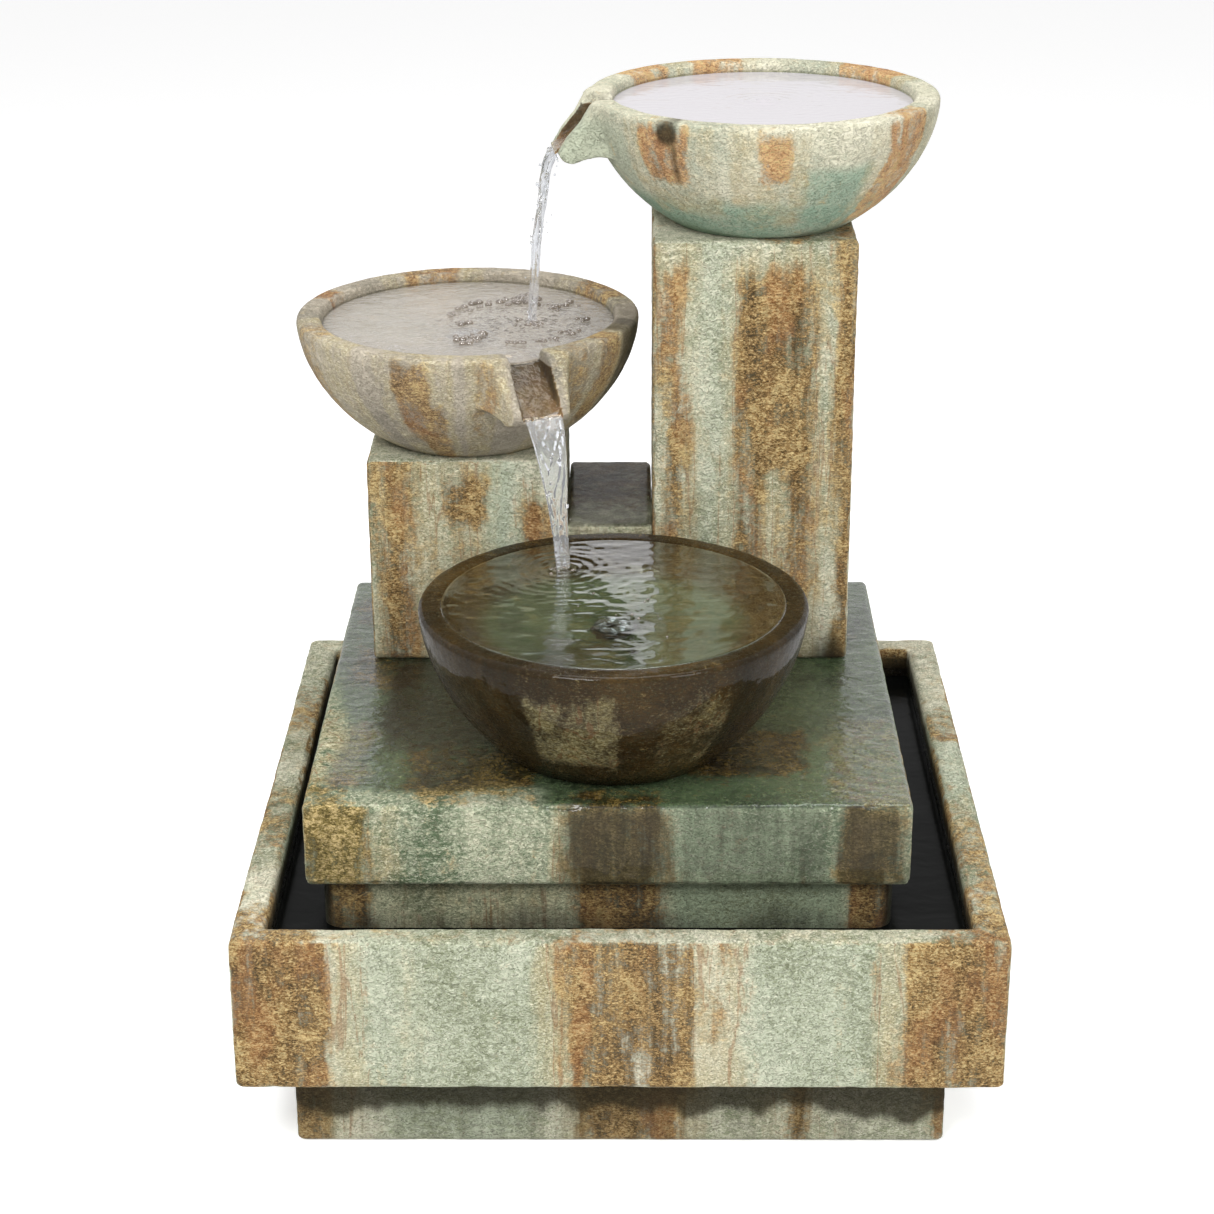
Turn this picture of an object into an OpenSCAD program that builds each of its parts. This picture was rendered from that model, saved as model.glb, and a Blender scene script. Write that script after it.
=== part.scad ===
// Three-bowl cascading fountain: square basin on a plinth, square riser and slab, two pedestals and a
// low block, two spouted bowls, one brim-full bowl, and the pump, pipework and lights that serve them.
// Origin: centre of the plinth's underside. +Z up, the low bowl faces -Y, the tall pedestal is at +X.

/* [Plinth and basin] */
// Side of the square plinth that the basin stands on
plinth_side = 692; // [600:2:740]
// Height of the plinth
plinth_height = 99; // [60:1:120]
// Thickness of the plinth's walls
plinth_wall = 60; // [40:1:80]
// Outer side of the square basin
basin_side = 800; // [760:2:860]
// Outer height of the basin
basin_height = 173; // [150:1:220]
// Thickness of the basin's walls and floor
basin_wall = 35; // [28:1:40]
// Chamfer along every outer stone edge
edge_chamfer = 3.5; // [1:0.5:5]

/* [Riser and slab] */
// Sideways offset of the riser and all that it carries from the basin's centre
upper_offset = -12.6; // [-15:0.1:0]
// Outer side of the square riser, which is also the pump's chamber
riser_side = 600; // [580:2:620]
// Height of the riser above the basin's floor
riser_height = 158.4; // [150:0.2:200]
// Thickness of the riser's walls
riser_wall = 50; // [40:1:55]
// Radius of the riser's upright corners
riser_corner = 20; // [10:1:30]
// Side of the square slab on the riser
slab_side = 631.5; // [624:0.5:640]
// Thickness of the slab
slab_thickness = 93.2; // [80:0.2:110]

/* [Pedestals] */
// Side of the two square pedestals
pedestal_side = 224.5; // [220:0.5:230]
// Height of the tall pedestal
tall_height = 494.9; // [440:0.1:560]
// Height of the short pedestal
short_height = 242.6; // [220:0.1:280]
// Clear gap between the two pedestals, which the low block fills
pedestal_gap = 98.8; // [90:0.2:110]
// Height of the low block between the pedestals
block_height = 165.4; // [120:0.1:200]
// Distance of the pedestals' front faces behind the centre
pedestal_front = 68; // [60:1:74]
// Radius of the round core through each pedestal
core_radius = 45; // [40:1:48]

/* [Bowls] */
// Rim radius of the two spouted bowls
bowl_radius = 196; // [185:1:205]
// Height of the two spouted bowls
bowl_height = 142.8; // [130:0.2:160]
// Radius of the spouted bowls' flat foot
bowl_foot = 98; // [90:1:105]
// Depth inside the two spouted bowls
bowl_depth = 85; // [75:1:90]
// Rim radius of the low bowl
low_radius = 208; // [190:1:214]
// Height of the low bowl
low_height = 162; // [150:1:180]
// Radius of the low bowl's flat foot
low_foot = 118; // [105:1:125]
// Depth inside the low bowl
low_depth = 95; // [85:1:105]
// Distance of the low bowl's centre in front of the centre
low_forward = 150; // [146:1:165]
// Width of all three rims
rim_width = 28; // [24:1:32]

/* [Spouts] */
// Width of the water channel
channel_width = 44; // [36:1:50]
// Reach of the lip from the bowl's centre
lip_reach = 232; // [226:1:238]
// Drop of the lip below the rim
lip_drop = 57; // [50:1:62]
// Direction of the top spout, anticlockwise from +X
top_spout_angle = 187; // [180:1:195]
// Direction of the short pedestal's spout, anticlockwise from +X
mid_spout_angle = 293; // [283:1:303]
// Sideways offset of the top bowl and its supply from the tall pedestal's centre
supply_shift = 10; // [0:1:12]

/* [Pump and lights] */
// Outer radius of the supply hose
hose_radius = 11; // [10:0.5:13]
// Height of the pump's rotor axis above the basin's floor
pump_axis_height = 45; // [43:1:50]
// Side of the square motor block
pump_side = 74; // [70:1:80]
// Number of impeller blades
blade_count = 6; // [4:1:8]
// Radius of the round lights
light_radius = 23; // [21:1:26]
// Number of diodes in each light
diode_count = 8; // [6:1:10]
// Radius of the lights' leads
lead_radius = 2; // [1.5:0.1:2.5]

/* [Hidden] */
$fn = 96;
small_fn = 48;
lead_sides = 8;
over = 1;                        // overshoot of every cut past the faces it opens

// Heights of the stacked pieces
floor_z = plinth_height + basin_wall;
slab_z = floor_z + riser_height;
deck_z = slab_z + slab_thickness;
tall_z = deck_z + tall_height;
short_z = deck_z + short_height;

// Places of the upright axes
pedestal_y = pedestal_front + pedestal_side / 2;
tall_x = upper_offset + pedestal_gap / 2 + pedestal_side / 2;
supply_x = tall_x + supply_shift;
short_x = upper_offset - pedestal_gap / 2 - pedestal_side / 2;
low_x = upper_offset + 6;
low_y = -low_forward;
stopper_x = upper_offset - 60;
stopper_y = 60;

// Stone details
riser_inner = riser_side - 2 * riser_wall;
basin_pocket = basin_side - 2 * basin_wall;
pocket_corner = 12;
notch_width = 90;
notch_height = 24;
access_width = 300;
access_height = 112;
access_x = 60;
cord_notch = [70, 34];
core_cap = 45;                   // solid stone left above each core
cap_hole = 24;
lead_hole = 14;
hose_hole = 30;
rim_round = 6;
cavity_power = 2.2;
floor_flat = 26;                 // level seat for a fitting at the bottom of each bowl
bowl_power = 1.85;
low_power = 1.75;
recess_radius = 45;
recess_depth = 20;
bore_radius = 14;
block_clearance = 1;

// Spout outline, as reach from the bowl's centre and drop below the rim
cheek_top = [19, 12];            // cheek thickness at the rim and at the lip
channel_start = [bowl_radius - 31, 14];
lip = [lip_reach, lip_drop];

// Fittings in the top bowl
thread_radius = 12;
flange_radius = 22;
flange_thick = 4;
gasket_thick = 3;
nut_thick = 8;
nozzle_rise = 26;
barb_radius = 8;
barb_bottom_z = tall_z - 92;
hose_grip = 22;                  // length of hose pushed over each barb

// Pump, drawn round its own origin: the floor under the outlet, intake towards +Y
volute_x = -13;
body_back = -96;
body_front = -16;
flange_front = -8;
volute_front = 22;
volute_radius = 36;
chamber_radius = 28;
well_radius = 15.4;
well_back = -80;
feet_height = 8;
shaft_radius = 1.5;
running_gap = 0.05;
bush_radius = 5;
bush_length = 8;
outlet_top = 96;
barb_top = 126;
screen_front = 60;
dial_radius = 17;
dial_pin = 3;

// Lights, drawn round their own origin: the bowl's inner floor at its centre
light_base = 3;
light_body = 19;
lens_thick = 4;
diode_radius = 2.2;
diode_ring = 14;
junction = [64, 40, 26];
junction_at = [upper_offset - 40, 175];

// ---------- shared outlines and solids ----------

// Rectangle with cut corners, centred on the origin
function cut_rect(w, h, c) = [
    [w / 2 - c, -h / 2], [w / 2, -h / 2 + c], [w / 2, h / 2 - c], [w / 2 - c, h / 2],
    [-w / 2 + c, h / 2], [-w / 2, h / 2 - c], [-w / 2, -h / 2 + c], [-w / 2 + c, -h / 2]
];

// Outer radius of a bowl at height z over its foot
function bowl_r(radius, foot, height, power, z) =
    radius * pow(1 - (1 - pow(foot / radius, power)) * pow((height - z) / height, power), 1 / power);

// Inner radius of a bowl at depth d under its rim
function cavity_r(radius, depth, d) = radius * pow(1 - pow(d / depth, cavity_power), 1 / cavity_power);

// Rectangular block standing on the origin with every edge chamfered
module stone_block(w, d, h, c) {
    intersection() {
        linear_extrude(h)
            polygon(cut_rect(w, d, c));
        translate([0, d / 2, h / 2])
            rotate([90, 0, 0])
                linear_extrude(d)
                    polygon(cut_rect(w, h, c));
        translate([-w / 2, 0, h / 2])
            rotate([90, 0, 90])
                linear_extrude(w)
                    polygon(cut_rect(d, h, c));
    }
}

module rounded_square(side, r) {
    square([side - 2 * r, side], center = true);
    square([side, side - 2 * r], center = true);
    for (x = [-1, 1], y = [-1, 1])
        translate([x, y] * (side / 2 - r))
            circle(r);
}

module rounded_post(side, r, h) {
    linear_extrude(h)
        rounded_square(side, r);
}

// Solid of revolution inside a bowl's outer face, with a rounded outer rim edge
module bowl_outside(radius, foot, height, power) {
    rise = height - rim_round;
    rotate_extrude()
        polygon(concat(
            [[0, 0], [foot, 0]],
            [for (i = [1:14]) let (z = rise * i / 14) [bowl_r(radius, foot, height, power, z), z]],
            [for (a = [15:15:90]) [radius - rim_round * (1 - cos(a)), rise + rim_round * sin(a)]],
            [[0, height]]
        ));
}

// Hollow of a bowl, from its floor to past the rim, with a rounded inner rim edge
module bowl_cavity(radius, depth, height) {
    inner = radius - rim_width;
    rotate_extrude()
        polygon(concat(
            [[0, height - depth], [floor_flat, height - depth]],
            [for (i = [15:-1:1]) let (d = rim_round + (depth - rim_round) * pow(i / 15.5, 0.6))
                [cavity_r(inner, depth, d), height - d]],
            [for (a = [0:15:90])
                [inner + rim_round * (1 - cos(a)), height - rim_round * (1 - sin(a))]],
            [[inner + rim_round, height + over], [0, height + over]]
        ));
}

// Side outline of a spout: reach outwards along x, height from the rim along y
module spout_outline() {
    start = bowl_radius - 50;
    polygon([
        [start, 0], [bowl_radius - 8, 0], [bowl_radius - 3, -2], [bowl_radius, -6],
        [lip.x - 3, -lip.y + 6], [lip.x, -lip.y], [lip.x - 2, -lip.y - 5], [lip.x - 7, -lip.y - 10],
        [lip.x - 14, -lip.y - 12], [lip.x - 21, -lip.y - 9], [lip.x - 29, -lip.y - 4],
        [lip.x - 37, -lip.y - 5], [lip.x - 44, -lip.y - 12], [lip.x - 52, -lip.y - 26],
        [start, -lip.y - 26]
    ]);
}

// Two cheeks of a spout joined by its floor, in a bowl standing on the origin, pointing to +X
module spout_block() {
    root = channel_width / 2 + cheek_top.x + 14;
    rim = channel_width / 2 + cheek_top.x;
    tip = channel_width / 2 + cheek_top.y;
    intersection() {
        translate([0, root, bowl_height])
            rotate([90, 0, 0])
                linear_extrude(2 * root)
                    spout_outline();
        linear_extrude(bowl_height)
            polygon([
                [bowl_radius - 60, -root], [bowl_radius - 16, -root], [bowl_radius - 4, -rim],
                [lip_reach + over, -tip], [lip_reach + over, tip],
                [bowl_radius - 4, rim], [bowl_radius - 16, root], [bowl_radius - 60, root]
            ]);
    }
}

// Cut of the water channel, pointing to +X
module channel_cut() {
    slope = (lip.y - 1 - channel_start.y) / (lip.x - channel_start.x);
    translate([0, channel_width / 2, bowl_height])
        rotate([90, 0, 0])
            linear_extrude(channel_width)
                polygon([
                    [bowl_radius - 90, over], [bowl_radius - 90, -channel_start.y],
                    [channel_start.x, -channel_start.y],
                    [lip.x + 10, -channel_start.y - slope * (lip.x + 10 - channel_start.x)],
                    [lip.x + 10, over]
                ]);
}

// Round recess and bore through a bowl's foot
module foot_cuts(height, bore) {
    translate([0, 0, -over])
        cylinder(r = recess_radius, h = recess_depth + over);
    translate([0, 0, -over])
        cylinder(r = bore, h = height, $fn = small_fn);
}

module spouted_bowl(bore) {
    difference() {
        union() {
            bowl_outside(bowl_radius, bowl_foot, bowl_height, bowl_power);
            spout_block();
        }
        bowl_cavity(bowl_radius, bowl_depth, bowl_height);
        channel_cut();
        foot_cuts(bowl_height, bore);
    }
}

// Square pedestal with a round core whose axis stands `shift` to the side of its centre
module pedestal(height, shift = 0) {
    difference() {
        stone_block(pedestal_side, pedestal_side, height, edge_chamfer);
        translate([shift, 0, -over])
            cylinder(r = core_radius, h = height - core_cap + over);
        translate([shift, 0, 0])
            cylinder(r = cap_hole, h = height + over, $fn = small_fn);
    }
}

module tube(outer, inner, h) {
    difference() {
        cylinder(r = outer, h = h);
        translate([0, 0, -over])
            cylinder(r = inner, h = h + 2 * over);
    }
}

// ---------- lead sweep ----------

function unit(v) = v / norm(v);
function heading(p, i) = unit(p[min(i + 1, len(p) - 1)] - p[max(i - 1, 0)]);

// Round tube along a list of points that all lie in one upright plane facing `side`
module lead_tube(points, radius, side) {
    n = len(points);
    rings = [for (i = [0:n - 1]) let (t = heading(points, i), u = unit(side), v = cross(t, u))
        for (k = [0:lead_sides - 1])
            points[i] + radius * (cos(360 * k / lead_sides) * u + sin(360 * k / lead_sides) * v)];
    skin = [for (i = [0:n - 2], k = [0:lead_sides - 1]) let (j = (k + 1) % lead_sides)
        [i * lead_sides + k, i * lead_sides + j, (i + 1) * lead_sides + j, (i + 1) * lead_sides + k]];
    ends = [[for (k = [lead_sides - 1:-1:0]) k], [for (k = [0:lead_sides - 1]) (n - 1) * lead_sides + k]];
    polyhedron(rings, concat(skin, ends), convexity = 6);
}

// Quarter-round bend that leaves `from` along `a` and ends pointing along `b`
function bend(from, a, b, r, steps = 6) =
    [for (i = [0:steps]) from + r * (sin(90 * i / steps) * a + (1 - cos(90 * i / steps)) * b)];

// Route of a lead: down a bowl's axis to the chamber, then level to the junction box
function lead_route(x, y, top_z, level_z, port) =
    let (run = unit([port.x - x, port.y - y, 0]), down = [0, 0, -1], r = 24)
    concat([[x, y, top_z]], bend([x, y, level_z + r], down, run, r), [port]);

function route_side(x, y, port) = cross([0, 0, 1], [port.x - x, port.y - y, 0]);

// ---------- plinth, basin, riser and slab ----------

module plinth() {
    color("#9c9a83")
        difference() {
            stone_block(plinth_side, plinth_side, plinth_height, edge_chamfer);
            translate([0, 0, -over])
                rounded_post(plinth_side - 2 * plinth_wall, pocket_corner, plinth_height + 2 * over);
            translate([-cord_notch.x / 2, plinth_side / 2 - plinth_wall - over, -over])
                cube([cord_notch.x, plinth_wall + 2 * over, cord_notch.y + over]);
        }
}

module basin() {
    color("#a9ab92")
        difference() {
            translate([0, 0, plinth_height])
                stone_block(basin_side, basin_side, basin_height, edge_chamfer);
            translate([0, 0, floor_z])
                rounded_post(basin_pocket, pocket_corner, basin_height);
            translate([stopper_x, stopper_y, plinth_height - over])
                cylinder(r = 19, h = basin_wall + 2 * over, $fn = small_fn);
        }
}

module riser() {
    color("#8d9680")
        difference() {
            translate([upper_offset, 0, floor_z])
                rounded_post(riser_side, riser_corner, riser_height);
            translate([upper_offset, 0, floor_z - over])
                rounded_post(riser_inner, pocket_corner, riser_height + 2 * over);
            for (a = [0, 180, 270])
                translate([upper_offset, 0, floor_z - over])
                    rotate([0, 0, a])
                        translate([riser_inner / 2 - over, -notch_width / 2, 0])
                            cube([riser_wall + 2 * over, notch_width, notch_height + over]);
            translate([access_x - access_width / 2, riser_inner / 2 - over, floor_z - over])
                cube([access_width, riser_wall + 2 * over, access_height + over]);
        }
}

module slab() {
    color("#7f927c")
        difference() {
            translate([upper_offset, 0, slab_z])
                stone_block(slab_side, slab_side, slab_thickness, edge_chamfer);
            translate([supply_x, pedestal_y, slab_z - over])
                cylinder(r = hose_hole, h = slab_thickness + 2 * over, $fn = small_fn);
            for (at = [[short_x, pedestal_y], [low_x, low_y]])
                translate([at.x, at.y, slab_z - over])
                    cylinder(r = lead_hole, h = slab_thickness + 2 * over, $fn = small_fn);
        }
}

// ---------- pedestals and block ----------

module tall_pedestal() {
    color("#a8946f")
        translate([tall_x, pedestal_y, deck_z])
            pedestal(tall_height, supply_shift);
}

module short_pedestal() {
    color("#9d9a7f")
        translate([short_x, pedestal_y, deck_z])
            pedestal(short_height);
}

module low_block() {
    color("#7d7a68")
        translate([upper_offset, pedestal_y, deck_z])
            stone_block(pedestal_gap - 2 * block_clearance, pedestal_side, block_height, edge_chamfer);
}

// ---------- bowls ----------

module top_bowl() {
    color("#b3b49a")
        translate([supply_x, pedestal_y, tall_z])
            rotate([0, 0, top_spout_angle])
                spouted_bowl(thread_radius);
}

module mid_bowl() {
    color("#a89f8b")
        translate([short_x, pedestal_y, short_z])
            rotate([0, 0, mid_spout_angle])
                spouted_bowl(bore_radius);
}

module low_bowl() {
    color("#57492f")
        translate([low_x, low_y, deck_z])
            difference() {
                bowl_outside(low_radius, low_foot, low_height, low_power);
                bowl_cavity(low_radius, low_depth, low_height);
                foot_cuts(low_height, bore_radius);
            }
}

// ---------- supply to the top bowl ----------

module at_top_bowl_floor() {
    translate([supply_x, pedestal_y, tall_z + bowl_height - bowl_depth])
        children();
}

module outlet_nozzle() {
    tail = barb_bottom_z - (tall_z + bowl_height - bowl_depth);
    color("#b9975b")
        at_top_bowl_floor()
            difference() {
                union() {
                    translate([0, 0, gasket_thick])
                        cylinder(r = flange_radius, h = flange_thick, $fn = small_fn);
                    translate([0, 0, gasket_thick])
                        cylinder(r = thread_radius + 2, h = nozzle_rise, $fn = small_fn);
                    translate([0, 0, -bowl_height + bowl_depth - 20])
                        cylinder(r = thread_radius, h = bowl_height - bowl_depth + 20 + gasket_thick + over,
                            $fn = small_fn);
                    translate([0, 0, tail])
                        cylinder(r = barb_radius, h = -tail, $fn = small_fn);
                }
                translate([0, 0, tail - over])
                    cylinder(r = barb_radius - 2, h = nozzle_rise + gasket_thick - tail + 2 * over,
                        $fn = small_fn);
            }
}

module outlet_gasket() {
    color("#2b2b2b")
        at_top_bowl_floor()
            tube(flange_radius, thread_radius, gasket_thick, $fn = small_fn);
}

module outlet_locknut() {
    color("#c3a468")
        translate([supply_x, pedestal_y, tall_z + recess_depth - nut_thick])
            difference() {
                cylinder(r = 21, h = nut_thick, $fn = 6);
                translate([0, 0, -over])
                    cylinder(r = thread_radius, h = nut_thick + 2 * over, $fn = small_fn);
            }
}

module supply_hose() {
    bottom = floor_z + barb_top - hose_grip;
    color("#3d4244")
        translate([supply_x, pedestal_y, bottom])
            tube(hose_radius, barb_radius + running_gap, barb_bottom_z + hose_grip - bottom,
                $fn = small_fn);
}

module hose_clamps() {
    color("#c9ccd0")
        for (z = [floor_z + barb_top - 16, barb_bottom_z + 6])
            translate([supply_x, pedestal_y, z]) {
                tube(hose_radius + 1, hose_radius, 9, $fn = small_fn);
                translate([hose_radius + 1, -4, 1])
                    cube([6, 8, 7]);
            }
}

// ---------- pump ----------

module at_pump() {
    translate([supply_x, pedestal_y, floor_z])
        children();
}

// Turns a solid drawn along +Z to lie along +Y on the rotor axis
module on_rotor_axis(y) {
    translate([volute_x, y, pump_axis_height])
        rotate([-90, 0, 0])
            children();
}

module pump_body() {
    depth = body_front - body_back;
    color("#23272b")
        at_pump()
            difference() {
                union() {
                    on_rotor_axis(body_back)
                        rounded_post(pump_side, 12, depth);
                    on_rotor_axis(body_front)
                        cylinder(r = volute_radius, h = flange_front - body_front);
                    on_rotor_axis(body_back)
                        for (i = [1:5])
                            translate([0, 0, i * depth / 6])
                                rounded_post(pump_side + 3, 13, 4);
                }
                on_rotor_axis(well_back)
                    cylinder(r = well_radius, h = flange_front - well_back + over);
                on_rotor_axis(well_back - bush_length)
                    cylinder(r = bush_radius, h = bush_length + over, $fn = small_fn);
                on_rotor_axis(flange_front - 2.4)
                    tube(33.2, 30.8, 2.4 + over);
                translate([volute_x + 18, body_back - over, pump_axis_height + 16])
                    rotate([-90, 0, 0])
                        cylinder(r = 6, h = 12 + over, $fn = small_fn);
            }
}

module pump_feet() {
    color("#1b1b1b")
        at_pump()
            for (x = [-24, 24], y = [body_back + 14, body_front - 14])
                translate([volute_x + x, y, 0])
                    rotate_extrude($fn = small_fn)
                        polygon([
                            [0, 1.5], [5, 0.6], [9, 0], [9.5, 0.8], [6, 3], [4.5, 5],
                            [4.5, pump_axis_height - (pump_side + 3) / 2],
                            [0, pump_axis_height - (pump_side + 3) / 2]
                        ]);
}

module pump_cable_gland() {
    color("#121416")
        at_pump()
            translate([volute_x + 18, body_back + 11, pump_axis_height + 16])
                rotate([90, 0, 0])
                    difference() {
                        union() {
                            cylinder(r = 6, h = 11, $fn = small_fn);
                            translate([0, 0, 11])
                                cylinder(r = 9, h = 6, $fn = 6);
                            translate([0, 0, 17])
                                cylinder(r = 7, h = 9, $fn = small_fn);
                        }
                        translate([0, 0, -over])
                            cylinder(r = 3.5, h = 28, $fn = small_fn);
                    }
}

module pump_seal_ring() {
    color("#7a2f22")
        at_pump()
            on_rotor_axis(flange_front - 1.2)
                rotate_extrude()
                    translate([32, 0])
                        circle(r = 1.2, $fn = 16);
}

module volute_cover() {
    color("#2c3136")
        at_pump()
            difference() {
                union() {
                    on_rotor_axis(flange_front)
                        cylinder(r = volute_radius, h = volute_front - flange_front);
                    translate([0, 7, pump_axis_height])
                        cylinder(r = 13, h = outlet_top - pump_axis_height, $fn = small_fn);
                }
                on_rotor_axis(flange_front - over)
                    cylinder(r = chamber_radius, h = volute_front - 8 - flange_front + over);
                on_rotor_axis(volute_front - 9)
                    difference() {
                        cylinder(r = 14, h = 9 + over, $fn = small_fn);
                        cylinder(r = 7.5, h = 9 + over, $fn = small_fn);
                        for (a = [0:120:240])
                            rotate([0, 0, a])
                                translate([0, -1.5, 0])
                                    cube([16, 3, 9 + over]);
                    }
                on_rotor_axis(volute_front - 9)
                    cylinder(r = bush_radius, h = 7, $fn = small_fn);
                translate([0, 7, pump_axis_height])
                    cylinder(r = 9, h = outlet_top - pump_axis_height + over, $fn = small_fn);
            }
}

// The barb rises beside the volute's outlet so that it stands on the supply's axis
module outlet_barb() {
    color("#20262b")
        at_pump()
            difference() {
                union() {
                    translate([0, 7, outlet_top - 14])
                        cylinder(r = 9, h = 14, $fn = small_fn);
                    hull() {
                        translate([0, 7, outlet_top])
                            cylinder(r = 13, h = 3, $fn = 32);
                        translate([0, 0, outlet_top + 7.6])
                            cylinder(r = 10.5, h = 0.1, $fn = 32);
                    }
                    translate([0, 0, outlet_top + 6])
                        cylinder(r = barb_radius, h = barb_top - outlet_top - 6, $fn = small_fn);
                }
                translate([0, 7, outlet_top - 14 - over])
                    cylinder(r = 6, h = 14 + 2 * over, $fn = small_fn);
                translate([0, 3, outlet_top - over])
                    cylinder(r = 5.5, h = 8, $fn = small_fn);
                translate([0, 0, outlet_top + 2])
                    cylinder(r = 6, h = barb_top - outlet_top, $fn = small_fn);
            }
}

module rotor_magnet() {
    color("#4a4d50")
        at_pump()
            on_rotor_axis(well_back + 3)
                tube(14.6, 5.5, 56);
}

module impeller() {
    back = well_back + 3;
    color("#e8e6df")
        at_pump()
            on_rotor_axis(back)
                difference() {
                    union() {
                        cylinder(r = 5.5, h = 62, $fn = small_fn);
                        translate([0, 0, 56])
                            cylinder(r = 11, h = 15, $fn = small_fn);
                        translate([0, 0, 71])
                            cylinder(r = 24, h = 3);
                        translate([0, 0, 73])
                            cylinder(r = 6.5, h = 10, $fn = small_fn);
                        for (i = [0:blade_count - 1])
                            rotate([0, 0, 360 * i / blade_count])
                                translate([4, -1, 73])
                                    cube([19.5, 2, 9]);
                    }
                    translate([0, 0, -over])
                        cylinder(r = shaft_radius + running_gap, h = 90, $fn = small_fn);
                }
}

module impeller_shaft() {
    color("#f2f0ea")
        at_pump()
            on_rotor_axis(well_back - bush_length + 1)
                cylinder(r = shaft_radius, h = volute_front - 3 - (well_back - bush_length + 1), $fn = small_fn);
}

module shaft_bushes() {
    color("#1a1a1a")
        at_pump() {
            on_rotor_axis(well_back - bush_length)
                difference() {
                    cylinder(r = bush_radius, h = bush_length, $fn = small_fn);
                    translate([0, 0, 1])
                        cylinder(r = shaft_radius, h = bush_length, $fn = small_fn);
                }
            on_rotor_axis(volute_front - 9)
                difference() {
                    cylinder(r = bush_radius, h = 7, $fn = small_fn);
                    translate([0, 0, -over])
                        cylinder(r = shaft_radius, h = 7, $fn = small_fn);
                }
        }
}

module intake_screen() {
    depth = screen_front - body_front;
    shell = 2.5;
    outer = pump_side + 3 + 2 * shell;
    color("#30353a")
        at_pump()
            difference() {
                on_rotor_axis(body_front)
                    rounded_post(outer, 14, depth);
                on_rotor_axis(body_front - over)
                    rounded_post(outer - 2 * shell, 12, depth - shell + over);
                on_rotor_axis(screen_front - shell - over)
                    cylinder(r = dial_pin + running_gap, h = shell + 2 * over, $fn = small_fn);
                for (a = [20:40:340])
                    on_rotor_axis(screen_front - shell - over)
                        rotate([0, 0, a])
                            translate([10, 0, 0])
                                cylinder(r = 2.4, h = shell + 2 * over, $fn = small_fn);
                for (x = [-30, -23, 23, 30])
                    translate([volute_x + x - 1.5, screen_front - shell - over, pump_axis_height - 26])
                        cube([3, shell + 2 * over, 52]);
                for (y = [0:8:40])
                    translate([volute_x - outer / 2 - over, body_front + 20 + y, pump_axis_height - 24])
                        cube([outer + 2 * over, 3, 48]);
                translate([-14, -8, pump_axis_height + outer / 2 - shell - over])
                    cube([28, 30, shell + 2 * over]);
                translate([volute_x + 20, body_front - over, pump_axis_height + outer / 2 - shell - over])
                    cube([18, 40, shell + 2 * over]);
            }
}

module flow_dial() {
    color("#2a6f8f")
        at_pump()
            on_rotor_axis(screen_front + 0.3) {
                difference() {
                    cylinder(r = dial_radius, h = 3, $fn = small_fn);
                    for (a = [20:40:340])
                        rotate([0, 0, a])
                            translate([10, 0, -over])
                                cylinder(r = 2.4, h = 3 + 2 * over, $fn = small_fn);
                }
                translate([-dial_radius + 2, -1.5, 2.9])
                    cube([2 * dial_radius - 4, 3, 7]);
                translate([0, 0, -6])
                    cylinder(r = dial_pin, h = 6.5, $fn = small_fn);
                translate([0, 0, -6])
                    cylinder(r = dial_pin + 1.2, h = 2.4, $fn = small_fn);
            }
}

// ---------- lights ----------

module at_mid_light() {
    translate([short_x, pedestal_y, short_z + bowl_height - bowl_depth])
        children();
}

module at_low_light() {
    translate([low_x, low_y, deck_z + low_height - low_depth])
        children();
}

module each_diode() {
    for (i = [0:diode_count - 1])
        rotate([0, 0, 360 * i / diode_count])
            translate([diode_ring, 0, 0])
                children();
}

module light_housing() {
    difference() {
        rotate_extrude()
            polygon([
                [0, light_base], [light_radius - 2, light_base], [light_radius, light_base + 2],
                [light_radius, light_base + light_body], [light_radius, light_base + light_body + 2],
                [light_radius - 2, light_base + light_body + 2], [light_radius - 2, light_base + light_body],
                [0, light_base + light_body]
            ]);
        translate([0, 0, light_base + light_body - 10])
            cylinder(r = 5, h = 10 + over, $fn = small_fn);
        translate([0, 0, light_base - over])
            cylinder(r = lead_radius + running_gap, h = 7 + over, $fn = small_fn);
        each_diode()
            translate([0, 0, light_base + light_body - 3])
                cylinder(r = diode_radius, h = 3 + over, $fn = 24);
    }
}

module light_diodes() {
    each_diode()
        translate([0, 0, light_base + light_body - 3])
            cylinder(r = diode_radius, h = 4.2, $fn = 24);
}

module light_lens() {
    translate([0, 0, light_base + light_body])
        difference() {
            tube(light_radius - 2, 7, lens_thick, $fn = small_fn);
            each_diode()
                translate([0, 0, -over])
                    cylinder(r = diode_radius, h = 1.2 + over, $fn = 24);
        }
}

// Rubber stopper under a light: a flange on the bowl's floor and a plug in its bore
module light_stopper(plug) {
    difference() {
        union() {
            cylinder(r = bore_radius + 4, h = light_base, $fn = small_fn);
            translate([0, 0, -plug])
                cylinder(r = bore_radius, h = plug + over, $fn = small_fn);
        }
        translate([0, 0, -plug - over])
            cylinder(r = lead_radius + running_gap, h = plug + light_base + 2 * over, $fn = small_fn);
    }
}

module mid_light_housing() { color("#101216") at_mid_light() light_housing(); }
module mid_light_diodes() { color("#f4f6ff") at_mid_light() light_diodes(); }
module mid_light_lens() { color("#dfe9f2") at_mid_light() light_lens(); }
module mid_light_stopper() {
    color("#1d1d1d")
        at_mid_light()
            light_stopper(bowl_height - bowl_depth - recess_depth);
}

module low_light_housing() { color("#101216") at_low_light() light_housing(); }
module low_light_diodes() { color("#f4f6ff") at_low_light() light_diodes(); }
module low_light_lens() { color("#dfe9f2") at_low_light() light_lens(); }
module low_light_stopper() {
    color("#1d1d1d")
        at_low_light()
            light_stopper(low_height - low_depth - recess_depth);
}

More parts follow.
